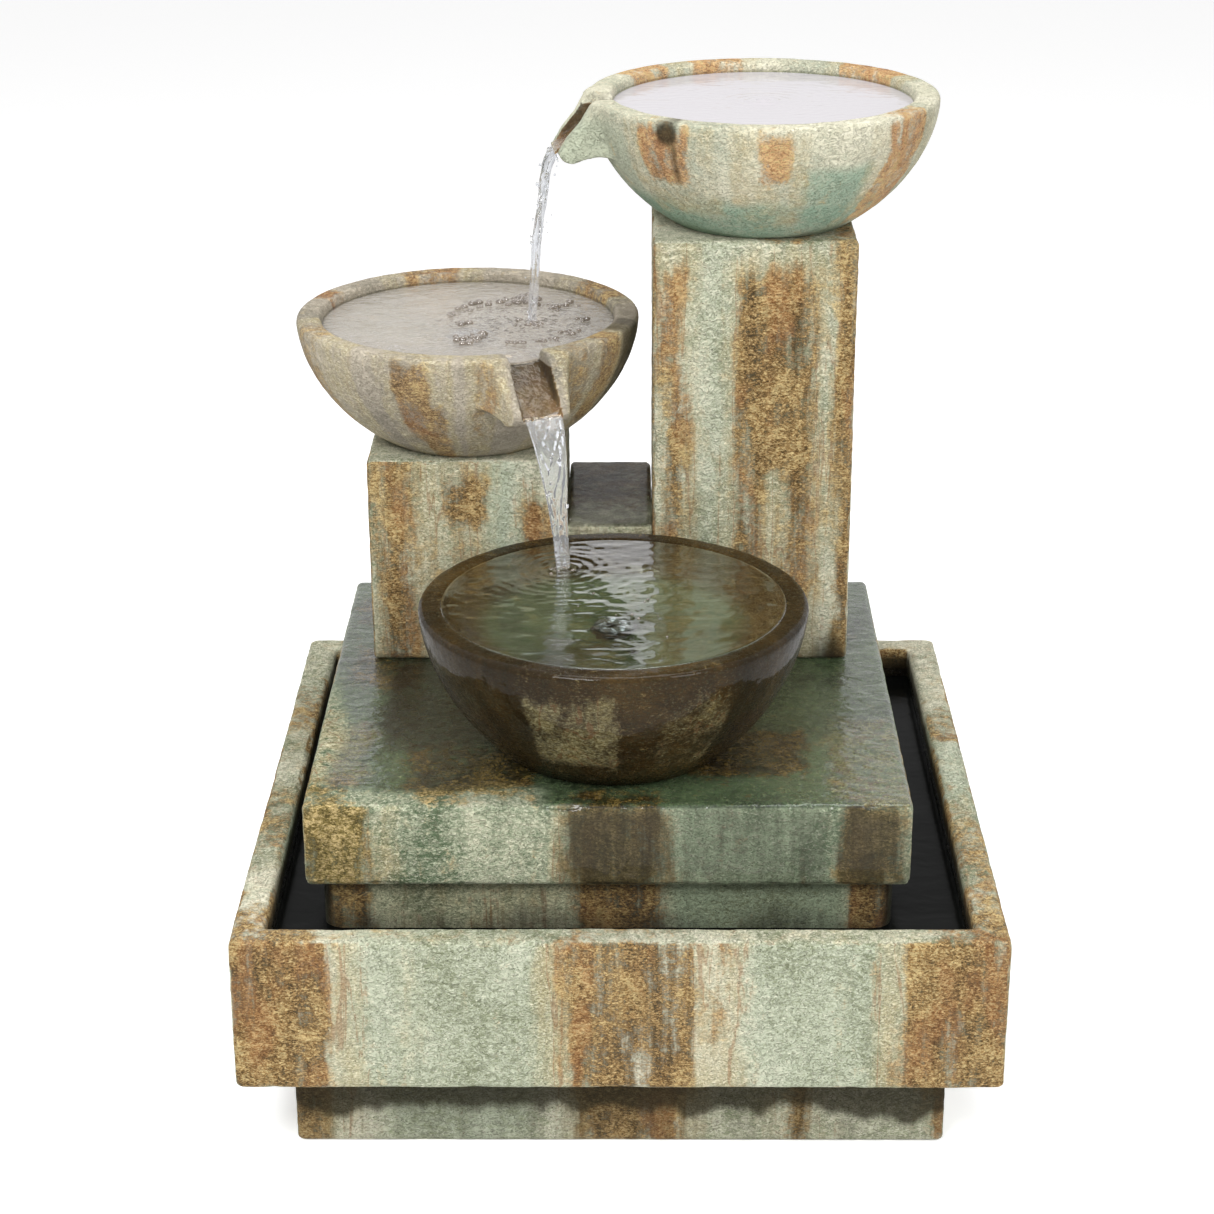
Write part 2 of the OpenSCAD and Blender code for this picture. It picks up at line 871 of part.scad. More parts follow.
// Ports of the junction box: the mid light's on its left end, the low light's on its front
mid_port = [junction_at.x - junction.x / 2, junction_at.y, floor_z + 16];
low_port = [junction_at.x, junction_at.y - junction.y / 2, floor_z + 16];
mid_lead_top = short_z + bowl_height - bowl_depth + light_base + 6;
low_lead_top = deck_z + low_height - low_depth + light_base + 6;

module mid_light_lead() {
    color("#26282b")
        lead_tube(lead_route(short_x, pedestal_y, mid_lead_top, floor_z + 16, mid_port),
            lead_radius, route_side(short_x, pedestal_y, mid_port));
}

module low_light_lead() {
    color("#26282b")
        lead_tube(lead_route(low_x, low_y, low_lead_top, floor_z + 16, low_port),
            lead_radius, route_side(low_x, low_y, low_port));
}

module light_junction_box() {
    wall = 3;
    color("#15181b")
        translate([junction_at.x, junction_at.y, floor_z])
            difference() {
                stone_block(junction.x, junction.y, junction.z, 2);
                translate([-junction.x / 2 + wall, -junction.y / 2 + wall, wall])
                    cube([junction.x - 2 * wall, junction.y - 2 * wall, junction.z]);
                translate([junction.x / 2 - wall - over, 0, 16])
                    rotate([0, 90, 0])
                        cylinder(r = 3.5, h = wall + 2 * over, $fn = small_fn);
            }
}

module junction_lid() {
    color("#1b1e22")
        translate([junction_at.x, junction_at.y, floor_z + junction.z])
            stone_block(junction.x, junction.y, 4, 1);
}

module cord_stopper() {
    color("#1d1d1d")
        translate([stopper_x, stopper_y, plinth_height])
            difference() {
                union() {
                    cylinder(r = 19, h = basin_wall, $fn = small_fn);
                    translate([0, 0, basin_wall])
                        cylinder(r = 24, h = 5, $fn = small_fn);
                }
                for (x = [-8, 8])
                    translate([x, 0, -over])
                        cylinder(r = 3.5, h = basin_wall + 5 + 2 * over, $fn = small_fn);
            }
}

plinth();
basin();
riser();
slab();
tall_pedestal();
short_pedestal();
low_block();
top_bowl();
mid_bowl();
low_bowl();
outlet_nozzle();
outlet_gasket();
outlet_locknut();
supply_hose();
hose_clamps();
pump_body();
pump_feet();
pump_cable_gland();
pump_seal_ring();
volute_cover();
outlet_barb();
rotor_magnet();
impeller();
impeller_shaft();
shaft_bushes();
intake_screen();
flow_dial();
mid_light_housing();
mid_light_diodes();
mid_light_lens();
mid_light_stopper();
mid_light_lead();
low_light_housing();
low_light_diodes();
low_light_lens();
low_light_stopper();
low_light_lead();
light_junction_box();
junction_lid();
cord_stopper();
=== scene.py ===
"""Looks of the three-bowl cascading fountain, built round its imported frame.

Everything is in metres, in the frame's own axes: +Z up, the front at -Y, the tall pedestal at +X.
The stone pieces are dense meshes that replace the plain CAD solids; the water is visual only.
"""
import itertools
import math

import bpy
import numpy as np
from mathutils import Matrix, Vector


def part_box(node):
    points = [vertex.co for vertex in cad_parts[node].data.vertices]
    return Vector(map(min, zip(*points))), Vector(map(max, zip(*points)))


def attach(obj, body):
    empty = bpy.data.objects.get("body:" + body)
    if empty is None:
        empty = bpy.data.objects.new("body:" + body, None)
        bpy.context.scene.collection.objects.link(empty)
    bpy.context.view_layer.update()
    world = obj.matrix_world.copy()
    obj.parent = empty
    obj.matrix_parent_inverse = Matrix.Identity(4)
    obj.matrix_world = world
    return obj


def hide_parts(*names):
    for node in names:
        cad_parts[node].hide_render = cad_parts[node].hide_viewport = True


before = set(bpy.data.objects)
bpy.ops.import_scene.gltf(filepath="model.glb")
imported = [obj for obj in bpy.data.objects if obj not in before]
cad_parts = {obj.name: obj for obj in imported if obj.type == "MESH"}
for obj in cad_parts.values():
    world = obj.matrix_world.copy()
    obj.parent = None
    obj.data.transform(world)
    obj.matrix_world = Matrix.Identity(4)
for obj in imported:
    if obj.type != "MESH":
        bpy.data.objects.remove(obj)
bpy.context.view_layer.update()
MM = 0.001


def corner_pair(node):
    low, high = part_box(node)
    return np.array(low), np.array(high)


BOX = {name: corner_pair(name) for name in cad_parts}


# ---------- camera, floor and light ----------

EYE = Vector((0.0126, -2.8632, 1.6436))
YAW, PITCH, ROLL = math.radians(-0.55), math.radians(22.14), math.radians(-0.24)
SENSOR, LENS = 36.0, 81.6
SEEN_SKY, DIFFUSE_SKY = 1.0, 0.48   # the sky as it is seen and as it lights matt faces
FLOOR_GLOW = 0.42                   # the floor's own light
LIT_MIDDLE = (0, 0, 0.45)
FLOOR_SIZE, FLOOR_Z_UNDER, FLOOR_GREY = 150, -0.0005, 0.93


def add_camera():
    forward = Vector((math.sin(YAW) * math.cos(PITCH), math.cos(YAW) * math.cos(PITCH), -math.sin(PITCH)))
    level = forward.cross(Vector((0, 0, 1))).normalized()
    upright = level.cross(forward)
    right = math.cos(ROLL) * level + math.sin(ROLL) * upright
    up = right.cross(forward)
    data = bpy.data.cameras.new("camera")
    data.sensor_width = SENSOR
    data.lens = LENS
    data.clip_end = 50.0
    camera = bpy.data.objects.new("camera", data)
    turn = Matrix((right, up, -forward)).transposed().to_4x4()
    camera.matrix_world = Matrix.Translation(EYE) @ turn
    bpy.context.scene.collection.objects.link(camera)
    bpy.context.scene.camera = camera


def add_softbox(name, at, size, power):
    data = bpy.data.lights.new(name, "AREA")
    data.shape = "RECTANGLE"
    data.size, data.size_y = size
    data.energy = power
    light = bpy.data.objects.new(name, data)
    light.location = at
    light.rotation_euler = (Vector(LIT_MIDDLE) - Vector(at)).to_track_quat("-Z", "Y").to_euler()
    bpy.context.scene.collection.objects.link(light)


def add_studio():
    scene = bpy.context.scene
    scene.view_settings.view_transform = "Standard"
    world = bpy.data.worlds.new("studio")
    scene.world = world
    world.use_nodes = True
    sky = world.node_tree.nodes["Background"]
    sky.inputs["Color"].default_value = (1.0, 1.0, 1.0, 1)
    path = world.node_tree.nodes.new("ShaderNodeLightPath")
    gain = world.node_tree.nodes.new("ShaderNodeMath")
    gain.operation = "MULTIPLY_ADD"
    world.node_tree.links.new(path.outputs["Is Diffuse Ray"], gain.inputs[0])
    gain.inputs[1].default_value = DIFFUSE_SKY - SEEN_SKY
    gain.inputs[2].default_value = SEEN_SKY
    world.node_tree.links.new(gain.outputs[0], sky.inputs["Strength"])
    add_softbox("key", (-1.2, -2.6, 3.1), (1.4, 1.4), 118)
    add_softbox("fill", (2.2, -2.4, 2.3), (1.2, 1.8), 56)
    add_softbox("top", (0.2, 0.4, 3.6), (1.8, 1.8), 50)
    bpy.ops.mesh.primitive_plane_add(size=FLOOR_SIZE, location=(0, 0, FLOOR_Z_UNDER))
    floor = bpy.context.object
    floor.name = "floor"
    look = bpy.data.materials.new("pale_floor")
    look.use_nodes = True
    surface = look.node_tree.nodes["Principled BSDF"]
    surface.inputs["Base Color"].default_value = (FLOOR_GREY, FLOOR_GREY, FLOOR_GREY, 1)
    surface.inputs["Roughness"].default_value = 0.9
    surface.inputs["Emission Color"].default_value = (FLOOR_GLOW, FLOOR_GLOW, FLOOR_GLOW, 1)
    path = look.node_tree.nodes.new("ShaderNodeLightPath")
    look.node_tree.links.new(path.outputs["Is Camera Ray"], surface.inputs["Emission Strength"])
    floor.data.materials.append(look)


add_camera()
add_studio()


# ---------- repeatable noise ----------

def lattice(cell, seed):
    """One repeatable number from -1 to 1 for each whole-number cell."""
    h = cell[:, 0] * 374761393 + cell[:, 1] * 668265263 + cell[:, 2] * 1103515245 + seed * 974711
    h = (h ^ (h >> 13)) * 1274126177 & 0xFFFFFFFF
    h = (h ^ (h >> 15)) * 2246822519 & 0xFFFFFFFF
    return ((h ^ (h >> 16)) & 0xFFFF) / 32767.5 - 1


def value_noise(points, seed):
    base = np.floor(points).astype(np.int64)
    part = points - base
    ease = part * part * (3 - 2 * part)
    total = np.zeros(len(points))
    for corner in itertools.product((0, 1), repeat=3):
        weight = np.prod(np.where(corner, ease, 1 - ease), axis=1)
        total += weight * lattice(base + np.array(corner), seed)
    return total


def fractal(points, scale, octaves=3, seed=1):
    """Layered noise, about -1 to 1; scale is in features per metre, one number or one for each axis."""
    total, size = np.zeros(len(points)), 1.0
    for layer in range(octaves):
        total += size * value_noise(points * (np.array(scale) * 2 ** layer) + 17.3 * layer, seed + layer)
        size *= 0.5
    return total / 1.6


def ease(t):
    t = np.clip(t, 0, 1)
    return t * t * (3 - 2 * t)


def band(x, low, high, soft):
    """1 between low and high, falling to 0 over `soft` at each end."""
    return ease((x - low) / soft + 0.5) * ease((high - x) / soft + 0.5)


# ---------- mesh building ----------

def make_object(name, points, faces, smooth=True):
    mesh = bpy.data.meshes.new(name)
    mesh.from_pydata([tuple(p) for p in points], [], [tuple(int(i) for i in f) for f in faces])
    mesh.validate()
    if smooth:
        mesh.shade_smooth()
    obj = bpy.data.objects.new(name, mesh)
    bpy.context.scene.collection.objects.link(obj)
    return obj


def read_vectors(obj, what):
    flat = np.empty(len(obj.data.vertices) * 3)
    obj.data.vertices.foreach_get(what, flat)
    return flat.reshape(-1, 3)


def points_of(obj):
    return read_vectors(obj, "co")


def normals_of(obj):
    return read_vectors(obj, "normal")


def set_points(obj, points):
    obj.data.vertices.foreach_set("co", np.ascontiguousarray(points).ravel())
    obj.data.update()


def set_field(obj, name, values):
    """A per-point number that the object's material reads."""
    layer = obj.data.attributes.get(name) or obj.data.attributes.new(name, "FLOAT", "POINT")
    layer.data.foreach_set("value", np.asarray(values, np.float32))


def loft(loops, caps=True):
    """Points and faces that join closed loops of equal length, with fans over both ends if wanted."""
    count, around = len(loops), len(loops[0])
    points = np.concatenate(loops)
    ring, step = np.meshgrid(np.arange(count - 1), np.arange(around), indexing="ij")
    after = (step + 1) % around
    faces = np.stack([ring * around + step, ring * around + after,
                      (ring + 1) * around + after, (ring + 1) * around + step], -1).reshape(-1, 4).tolist()
    if caps:
        first, last = len(points), (count - 1) * around
        points = np.concatenate([points, [np.mean(loops[0], axis=0)], [np.mean(loops[-1], axis=0)]])
        faces += [[first, (i + 1) % around, i] for i in range(around)]
        faces += [[first + 1, last + i, last + (i + 1) % around] for i in range(around)]
    return points, faces


def block_axis(half, radius, step):
    core = half - radius
    inner = np.linspace(-core, core, max(2, round(2 * core / step) + 1))
    ends = core + radius * np.tan(np.radians([15, 30, 45]))
    return np.concatenate([-ends[::-1], inner, ends])


def rounded_block(name, low, high, radius, step):
    """A box of evenly spaced small faces with every edge rounded."""
    centre, half = (low + high) / 2, (high - low) / 2
    axes = [block_axis(h, radius, step) for h in half]
    points, faces, start = [], [], 0
    for k, sign in itertools.product(range(3), (-1, 1)):
        i, j = (k + 1) % 3, (k + 2) % 3
        u, v = np.meshgrid(axes[i], axes[j], indexing="ij")
        side = np.empty((u.size, 3))
        side[:, i], side[:, j], side[:, k] = u.ravel(), v.ravel(), sign * half[k]
        rows, columns = u.shape
        a, b = np.meshgrid(np.arange(rows - 1), np.arange(columns - 1), indexing="ij")
        at = (start + a * columns + b).ravel()
        quad = np.stack([at, at + columns, at + columns + 1, at + 1], -1)
        faces.append(quad if sign > 0 else quad[:, ::-1])
        points.append(side)
        start += u.size
    points, faces = np.concatenate(points), np.concatenate(faces)
    _, first, same = np.unique(np.round(points, 7), axis=0, return_index=True, return_inverse=True)
    points, faces = points[first], same.ravel()[faces]
    inner = np.clip(points, -(half - radius), half - radius)
    out = points - inner
    points = centre + inner + radius * out / np.linalg.norm(out, axis=1, keepdims=True)
    return make_object(name, points, faces)


def square_loop(centre, half, corner, z, step_count, corner_count=4):
    """A level square loop with rounded corners, anticlockwise from above."""
    core = half - corner
    run = np.linspace(-core, core, step_count)[1:-1]
    loop = []
    for turn in range(4):
        a = math.radians(90 * turn)
        out, along = np.array([math.cos(a), math.sin(a)]), np.array([-math.sin(a), math.cos(a)])
        loop += [out * half + along * t for t in run]
        for t in np.radians(np.linspace(0, 90, corner_count + 1)):
            loop.append((out + along) * core + corner * (out * math.cos(t) + along * math.sin(t)))
    loop = np.array(loop)
    return np.column_stack([loop[:, 0] + centre[0], loop[:, 1] + centre[1], np.full(len(loop), z)])


def arc(cx, cz, radius, start, stop, count=4):
    """Points on a quarter turn of an outline, as (reach, height)."""
    angles = np.radians(np.linspace(start, stop, count + 1))
    return [(cx + radius * math.cos(a), cz + radius * math.sin(a)) for a in angles]


def square_ring(name, outer, inner, low, high, floor, radius, step, corner=0.006):
    """A square tank or ring with rounded edges. floor is its inner floor's height, or None for a ring."""
    centre = ((outer[0][0] + outer[1][0]) / 2, (outer[0][1] + outer[1][1]) / 2)
    half = (outer[1][0] - outer[0][0]) / 2
    outline = arc(half - radius, low + radius, radius, -90, 0)
    outline += [(half, z) for z in np.arange(low + radius + step, high - radius - step / 2, step)]
    outline += arc(half - radius, high - radius, radius, 0, 90)
    outline += [(x, high) for x in np.arange(half - radius - step, inner + radius + step / 2, -step)]
    outline += arc(inner + radius, high - radius, radius, 90, 180)
    bottom = low if floor is None else floor
    outline += [(inner, z) for z in np.arange(high - radius - 1.5 * step, bottom + step, -1.5 * step)]
    if floor is not None:
        outline += [(inner * s, floor) for s in (0.999, 0.97, 0.8, 0.55, 0.3, 0.1)]
        outline = [((half - radius) * s, low) for s in (0.1, 0.3, 0.6, 0.85, 0.97)] + outline
    count = round(2 * half / step)
    loops = [square_loop(centre, reach, min(corner, reach * 0.4), z, count) for reach, z in outline]
    if floor is None:
        loops += [square_loop(centre, inner, corner, low, count), loops[0]]
    obj = make_object(name, *loft(loops, caps=floor is not None))
    join = obj.modifiers.new("join", "WELD")
    join.merge_threshold = 0.01 * MM
    bake_modifiers(obj)
    return obj


def bake_modifiers(obj):
    """Replaces the object's mesh by what its modifiers make of it."""
    bpy.context.view_layer.update()
    result = bpy.data.meshes.new_from_object(obj.evaluated_get(bpy.context.evaluated_depsgraph_get()))
    obj.modifiers.clear()
    old, obj.data = obj.data, result
    bpy.data.meshes.remove(old)
    obj.data.shade_smooth()


def carve(obj, tool, operation="DIFFERENCE"):
    cut = obj.modifiers.new("carve", "BOOLEAN")
    cut.operation = operation
    cut.solver = "MANIFOLD"
    cut.object = tool
    bake_modifiers(obj)
    bpy.data.objects.remove(tool)


def remesh(obj, size, rounds):
    """Even small faces all over, with every sharp corner worn soft."""
    skin = obj.modifiers.new("skin", "REMESH")
    skin.mode = "VOXEL"
    skin.voxel_size = size
    wear = obj.modifiers.new("wear", "SMOOTH")
    wear.factor = 0.5
    wear.iterations = rounds
    bake_modifiers(obj)


def soften(obj, weights, rounds):
    """Smooths the places that weights says, by its share of each point."""
    group = obj.vertex_groups.new(name="soft")
    for level in np.unique(np.round(weights, 1)):
        if level > 0:
            chosen = np.nonzero(np.round(weights, 1) == level)[0]
            group.add(chosen.tolist(), float(level), "REPLACE")
    smooth = obj.modifiers.new("soften", "SMOOTH")
    smooth.vertex_group, smooth.iterations, smooth.factor = "soft", rounds, 0.5
    bake_modifiers(obj)
    obj.vertex_groups.clear()


def revolved(name, outline, centre, turns=192):
    """A closed solid of revolution about an upright axis; the outline runs from axis to axis."""
    angles = np.linspace(0, 2 * math.pi, turns, endpoint=False)
    loops = [np.column_stack([centre[0] + r * np.cos(angles), centre[1] + r * np.sin(angles),
                              np.full(turns, z)]) for r, z in outline if r > 1e-6]
    return make_object(name, *loft(loops))


# ---------- stone ----------

STONE_STEP = 0.0045
EDGE_ROUND = 0.007


def roughen(obj, coarse=1.0, fine=1.0, wear=1.0, keep=None, seed=3):
    """Uneven cast faces: slow waves, hammered dimples, and chips along the edges."""
    points, normals = points_of(obj), normals_of(obj)
    waves = 0.9 * MM * coarse * fractal(points, 7, 2, seed)
    dimples = 0.55 * MM * fine * fractal(points, (70, 70, 130), 3, seed + 7)
    pits = 1.6 * MM * fine * np.clip(fractal(points, 55, 2, seed + 13) - 0.52, 0, 1)
    sharp = 1 - np.max(np.abs(normals), axis=1)
    chips = 5 * MM * wear * ease(sharp * 6) * np.clip(fractal(points, 38, 2, seed + 19) - 0.12, 0, 1)
    move = waves + dimples - pits - chips
    if keep is not None:
        move = move * (1 - keep)
    set_points(obj, points + normals * move[:, None])


def face_weights(normals):
    """How much each point belongs to the front, right, back, left and top."""
    pairs = {"front": -normals[:, 1], "right": normals[:, 0], "back": normals[:, 1],
             "left": -normals[:, 0], "top": normals[:, 2]}
    return {name: ease((w - 0.45) / 0.3) for name, w in pairs.items()}


SIDES = ("front", "right", "back", "left")
FIELDS = ("rust", "tan", "teal", "dark")
FULL = (-0.1, 1.1)   # from below the bottom edge to above the top one, as shares of a face


def patches(*faces, **rows):
    """Stain patches on some faces, as (field, face, left, right, bottom, top, strength).

    A row is (left, right, bottom, top, strength), or (left, right, strength) for the full height. left to
    right and bottom to top are shares of the face, seen from outside it; on a top, bottom is the front.
    """
    return [(field, face, *row[:2], *(row[2:-1] or FULL), row[-1])
            for face in faces for field in rows for row in rows[field]]


def stain_block(obj, low, high, stains, seed):
    """Sets a block's fields from patches, with their edges worn ragged."""
    points, weights = points_of(obj), face_weights(normals_of(obj))
    size = high - low
    warp = 0.012 * fractal(points, (26, 26, 9), 3, seed)
    share = {
        "front": (points[:, 0] - low[0] + warp) / size[0], "back": (high[0] - points[:, 0] + warp) / size[0],
        "right": (points[:, 1] - low[1] + warp) / size[1], "left": (high[1] - points[:, 1] + warp) / size[1],
        "top": (points[:, 0] - low[0] + warp) / size[0],
    }
    height = (points[:, 2] - low[2] + 2 * warp) / size[2]
    depth = (points[:, 1] - low[1] + 2 * warp) / size[1]
    fields = {name: np.zeros(len(points)) for name in FIELDS}
    for field, face, left, right, bottom, top, strength in stains:
        up = depth if face == "top" else height
        wide = size[1] if face in ("left", "right") else size[0]
        tall = size[1] if face == "top" else size[2]
        across = band(share[face], left, right, 0.036 / wide)
        along = band(up, bottom, top, 0.05 / tall)
        fields[field] = np.maximum(fields[field], strength * across * along * weights[face])
    for name, values in fields.items():
        set_field(obj, name, values)
    return fields


def random_runs(face, seed, count):
    """Upright rust runs for a face whose stains nobody knows."""
    draw = np.random.default_rng(seed)
    runs = []
    for _ in range(count):
        left = draw.uniform(-0.02, 0.9)
        wide = draw.uniform(0.05, 0.17)
        runs.append(("rust", face, left, left + wide, draw.uniform(-0.1, 0.2), 1.1, 0.9 * draw.uniform(0.7, 1)))
        runs += patches(face, tan=[(left - 0.03, left + wide + 0.03, 0.8)])
    left = draw.uniform(0.1, 0.7)
    return runs + patches(face, teal=[(left, left + 0.2, 0.8)])


# ---------- materials ----------

def srgb(r, g, b):
    """A colour picked in 0 to 255 display values, as linear RGBA."""
    linear = [c / 255 / 12.92 if c <= 10 else ((c / 255 + 0.055) / 1.055) ** 2.4 for c in (r, g, b)]
    return (*linear, 1.0)


class Look:
    """A material and short ways to add nodes to it. Sockets are passed as node outputs or plain values."""

    def __init__(self, name, **surface):
        self.material = bpy.data.materials.new(name)
        self.material.use_nodes = True
        self.tree = self.material.node_tree
        self.surface = self.tree.nodes["Principled BSDF"]
        self.output = self.tree.nodes["Material Output"]
        self.place = self.node("ShaderNodeTexCoord").outputs["Object"]
        for socket, value in surface.items():
            self.surface.inputs[socket.replace("_", " ")].default_value = value

    def node(self, kind, **values):
        made = self.tree.nodes.new(kind)
        for key, value in values.items():
            setattr(made, key, value)
        return made

    def feed(self, socket, value):
        if isinstance(value, bpy.types.NodeSocket):
            self.tree.links.new(value, socket)
        else:
            socket.default_value = value

    def math(self, operation, a, b=0.0, c=0.0):
        made = self.node("ShaderNodeMath", operation=operation)
        for socket, value in zip(made.inputs, (a, b, c)):
            self.feed(socket, value)
        return made.outputs[0]

    def add(self, first, *rest):
        for value in rest:
            first = self.math("ADD", first, value)
        return first

    def times(self, a, b):
        return self.math("MULTIPLY", a, b)

    def stretch(self, scale):
        made = self.node("ShaderNodeMapping")
        self.feed(made.inputs["Vector"], self.place)
        made.inputs["Scale"].default_value = scale
        return made.outputs[0]

    def noise(self, scale, detail=4.0, rough=0.55, stretch=None, warp=0.0):
        made = self.node("ShaderNodeTexNoise")
        self.feed(made.inputs["Vector"], self.stretch(stretch) if stretch else self.place)
        made.inputs["Scale"].default_value = scale
        made.inputs["Detail"].default_value = detail
        made.inputs["Roughness"].default_value = rough
        made.inputs["Distortion"].default_value = warp
        return made.outputs["Fac"]

    def cells(self, scale, stretch):
        made = self.node("ShaderNodeTexVoronoi")
        self.feed(made.inputs["Vector"], self.stretch(stretch))
        made.inputs["Scale"].default_value = scale
        return made.outputs["Distance"]

    def signed(self, value, gain):
        """A 0 to 1 value as a swing of plus or minus half the gain round 0."""
        return self.math("MULTIPLY_ADD", value, gain, -gain / 2)

    def field(self, name):
        return self.node("ShaderNodeAttribute", attribute_name=name).outputs["Fac"]

    def step(self, value, low, high):
        """0 below low, 1 above high, smooth between."""
        made = self.node("ShaderNodeMapRange", interpolation_type="SMOOTHSTEP")
        self.feed(made.inputs["Value"], value)
        made.inputs["From Min"].default_value = low
        made.inputs["From Max"].default_value = high
        return made.outputs["Result"]

    def ramp(self, value, *stops):
        made = self.node("ShaderNodeValToRGB")
        elements = made.color_ramp.elements
        while len(elements) < len(stops):
            elements.new(0.5)
        for element, (position, colour) in zip(elements, stops):
            element.position = position
            element.color = colour
        self.feed(made.inputs["Fac"], value)
        return made.outputs["Color"]

    def mix(self, share, a, b, blend="MIX"):
        made = self.node("ShaderNodeMix", data_type="RGBA", blend_type=blend)
        self.feed(made.inputs[0], share)
        self.feed(made.inputs[6], a)
        self.feed(made.inputs[7], b)
        return made.outputs[2]

    def stain(self, under, share, strength, colour):
        """The colour under a stain that covers it by share times strength."""
        return self.mix(self.times(share, strength), under, colour)

    def bump(self, height, distance, strength=1.0):
        made = self.node("ShaderNodeBump")
        made.inputs["Distance"].default_value = distance
        made.inputs["Strength"].default_value = strength
        self.feed(made.inputs["Height"], height)
        return made.outputs["Normal"]

    def set(self, socket, value):
        self.feed(self.surface.inputs[socket], value)


def weathered_stone(name, pale, cool, warm, rust_mid, rust_dark, wetness=0.0, grime=1.0, gloss=0.5, film=1.33,
                    contrast=1.0, soak=0.25, swell=2.0, orange=0.28, verdigris=(140, 164, 142)):
    """Cast stone with a verdigris wash: pale ground, tan haloes and rust runs where the fields say.

    Where its wet field is high the stone is darkened towards soak under a film of water, whose index is film,
    whose weight is gloss, and which is uneven by swell millimetres.
    """
    look = Look(name, Specular_IOR_Level=0.02 if wetness else 0.22, Coat_Roughness=0.06, Coat_IOR=film)
    mottle = look.noise(90, 6, 0.62, (1, 1, 1.5), 0.5)
    grain = look.noise(290, 5, 0.72, (1, 1, 1.8), 0.6)
    fine = look.noise(1000, 3, 0.6)
    clouds = look.noise(9, 4, 0.5, (1, 1, 0.55), 0.6)
    patchy = look.noise(27, 5, 0.6, (1, 1, 0.6), 0.8)
    runs = look.noise(60, 5, 0.65, (1, 1, 0.10))
    wrinkle = look.noise(105, 4, 0.55, (1, 1, 1.5), 1.6)
    flecks = look.cells(230, (1, 1, 1.5))

    # the pale ground, with its verdigris wash, creases and bright grains
    tone = look.add(look.signed(mottle, 1.2 * contrast), look.signed(clouds, 1.4),
                    look.signed(grain, 2.0 * contrast), 0.5)
    body = look.ramp(tone, (0.10, srgb(*cool)), (0.5, srgb(*pale)), (0.88, srgb(*warm)))
    body = look.stain(body, look.times(look.field("teal"), look.step(tone, 0.0, 0.6)), 0.6, srgb(*verdigris))
    crease = look.math("ABSOLUTE", look.signed(wrinkle, 1.0))
    crease = look.times(look.step(crease, 0.04, 0.0), look.step(grain, 0.40, 0.54))
    body = look.stain(body, crease, 0.62 * grime, srgb(104, 106, 76))
    body = look.stain(body, look.step(grain, 0.56, 0.68), 0.6 * contrast, srgb(228, 228, 208))

    # tan haloes with their thin veins, then rust
    ragged = look.add(look.signed(runs, 1.7), look.signed(mottle, 1.1), look.signed(grain, 1.0))
    tan_level = look.add(look.field("tan"), look.add(ragged, look.signed(patchy, 1.6)))
    tan = look.ramp(grain, (0.38, srgb(128, 112, 74)), (0.5, srgb(184, 172, 132)), (0.62, srgb(220, 212, 182)))
    body = look.stain(body, look.step(tan_level, 0.2, 1.2), 0.7, tan)
    vein = look.math("ABSOLUTE", look.signed(look.noise(30, 4, 0.55, (1, 1, 0.1), 0.5), 1.0))
    vein = look.times(look.step(vein, 0.02, 0.003), look.step(tan_level, 0.35, 0.8))
    body = look.stain(body, vein, 0.45 if grime == 1 else 0.1, srgb(142, 92, 54))
    rust_level = look.add(look.field("rust"), look.add(ragged, look.signed(patchy, 1.5)))
    rust_tone = look.add(look.signed(grain, 4.4), look.signed(mottle, 1.9), look.signed(patchy, 2.2), 0.44)
    rust = look.ramp(rust_tone, (0.0, srgb(*rust_dark)), (0.5, srgb(*rust_mid)), (1.0, srgb(198, 174, 122)))
    glow = look.step(look.noise(22, 3, 0.5, (1, 1, 0.4)), 0.5, 0.64)
    rust = look.stain(rust, glow, orange, srgb(156, 92, 52))
    body = look.stain(body, look.step(rust_level, 0.22, 0.95), 0.94, rust)

    # black flecks; the dark field, which is damp on some pieces and painted shade on others (the plinth, the
    # inside of the basin); and standing water
    black = look.times(look.step(flecks, 0.26, 0.12), look.step(fine, 0.45, 0.58))
    body = look.stain(body, black, 0.75 * grime, srgb(40, 34, 22))
    dark_level = look.add(look.field("dark"), look.times(ragged, 0.5))
    body = look.stain(body, look.step(dark_level, 0.1, 1.0), 0.9, srgb(44, 38, 20))
    wet = look.field("wet")
    if wetness:
        wet = look.math("MAXIMUM", wet, wetness)
    soaked = look.mix(1.0, body, look.mix(1.0, body, srgb(178, 186, 158), "MULTIPLY"), "MULTIPLY")
    look.set("Base Color", look.mix(wet, body, look.mix(soak, soaked, body)))

    dry = look.math("MULTIPLY_ADD", mottle, -0.25, 0.95)
    look.set("Roughness", look.math("MULTIPLY_ADD", wet, -0.55, dry))
    relief = look.add(look.times(mottle, 0.9), look.times(grain, 0.7))
    relief = look.math("SUBTRACT", relief, look.times(look.math("MAXIMUM", black, crease), 0.35))
    look.set("Normal", look.bump(look.times(relief, look.math("MULTIPLY_ADD", wet, -0.4, 1.0)), 2.6 * MM))
    look.set("Coat Weight", look.times(wet, gloss))
    look.set("Coat Normal", look.bump(look.noise(46, 3, 0.5, (1, 1.6, 0.3), 0.6), swell * MM, 0.8))
    return look.material


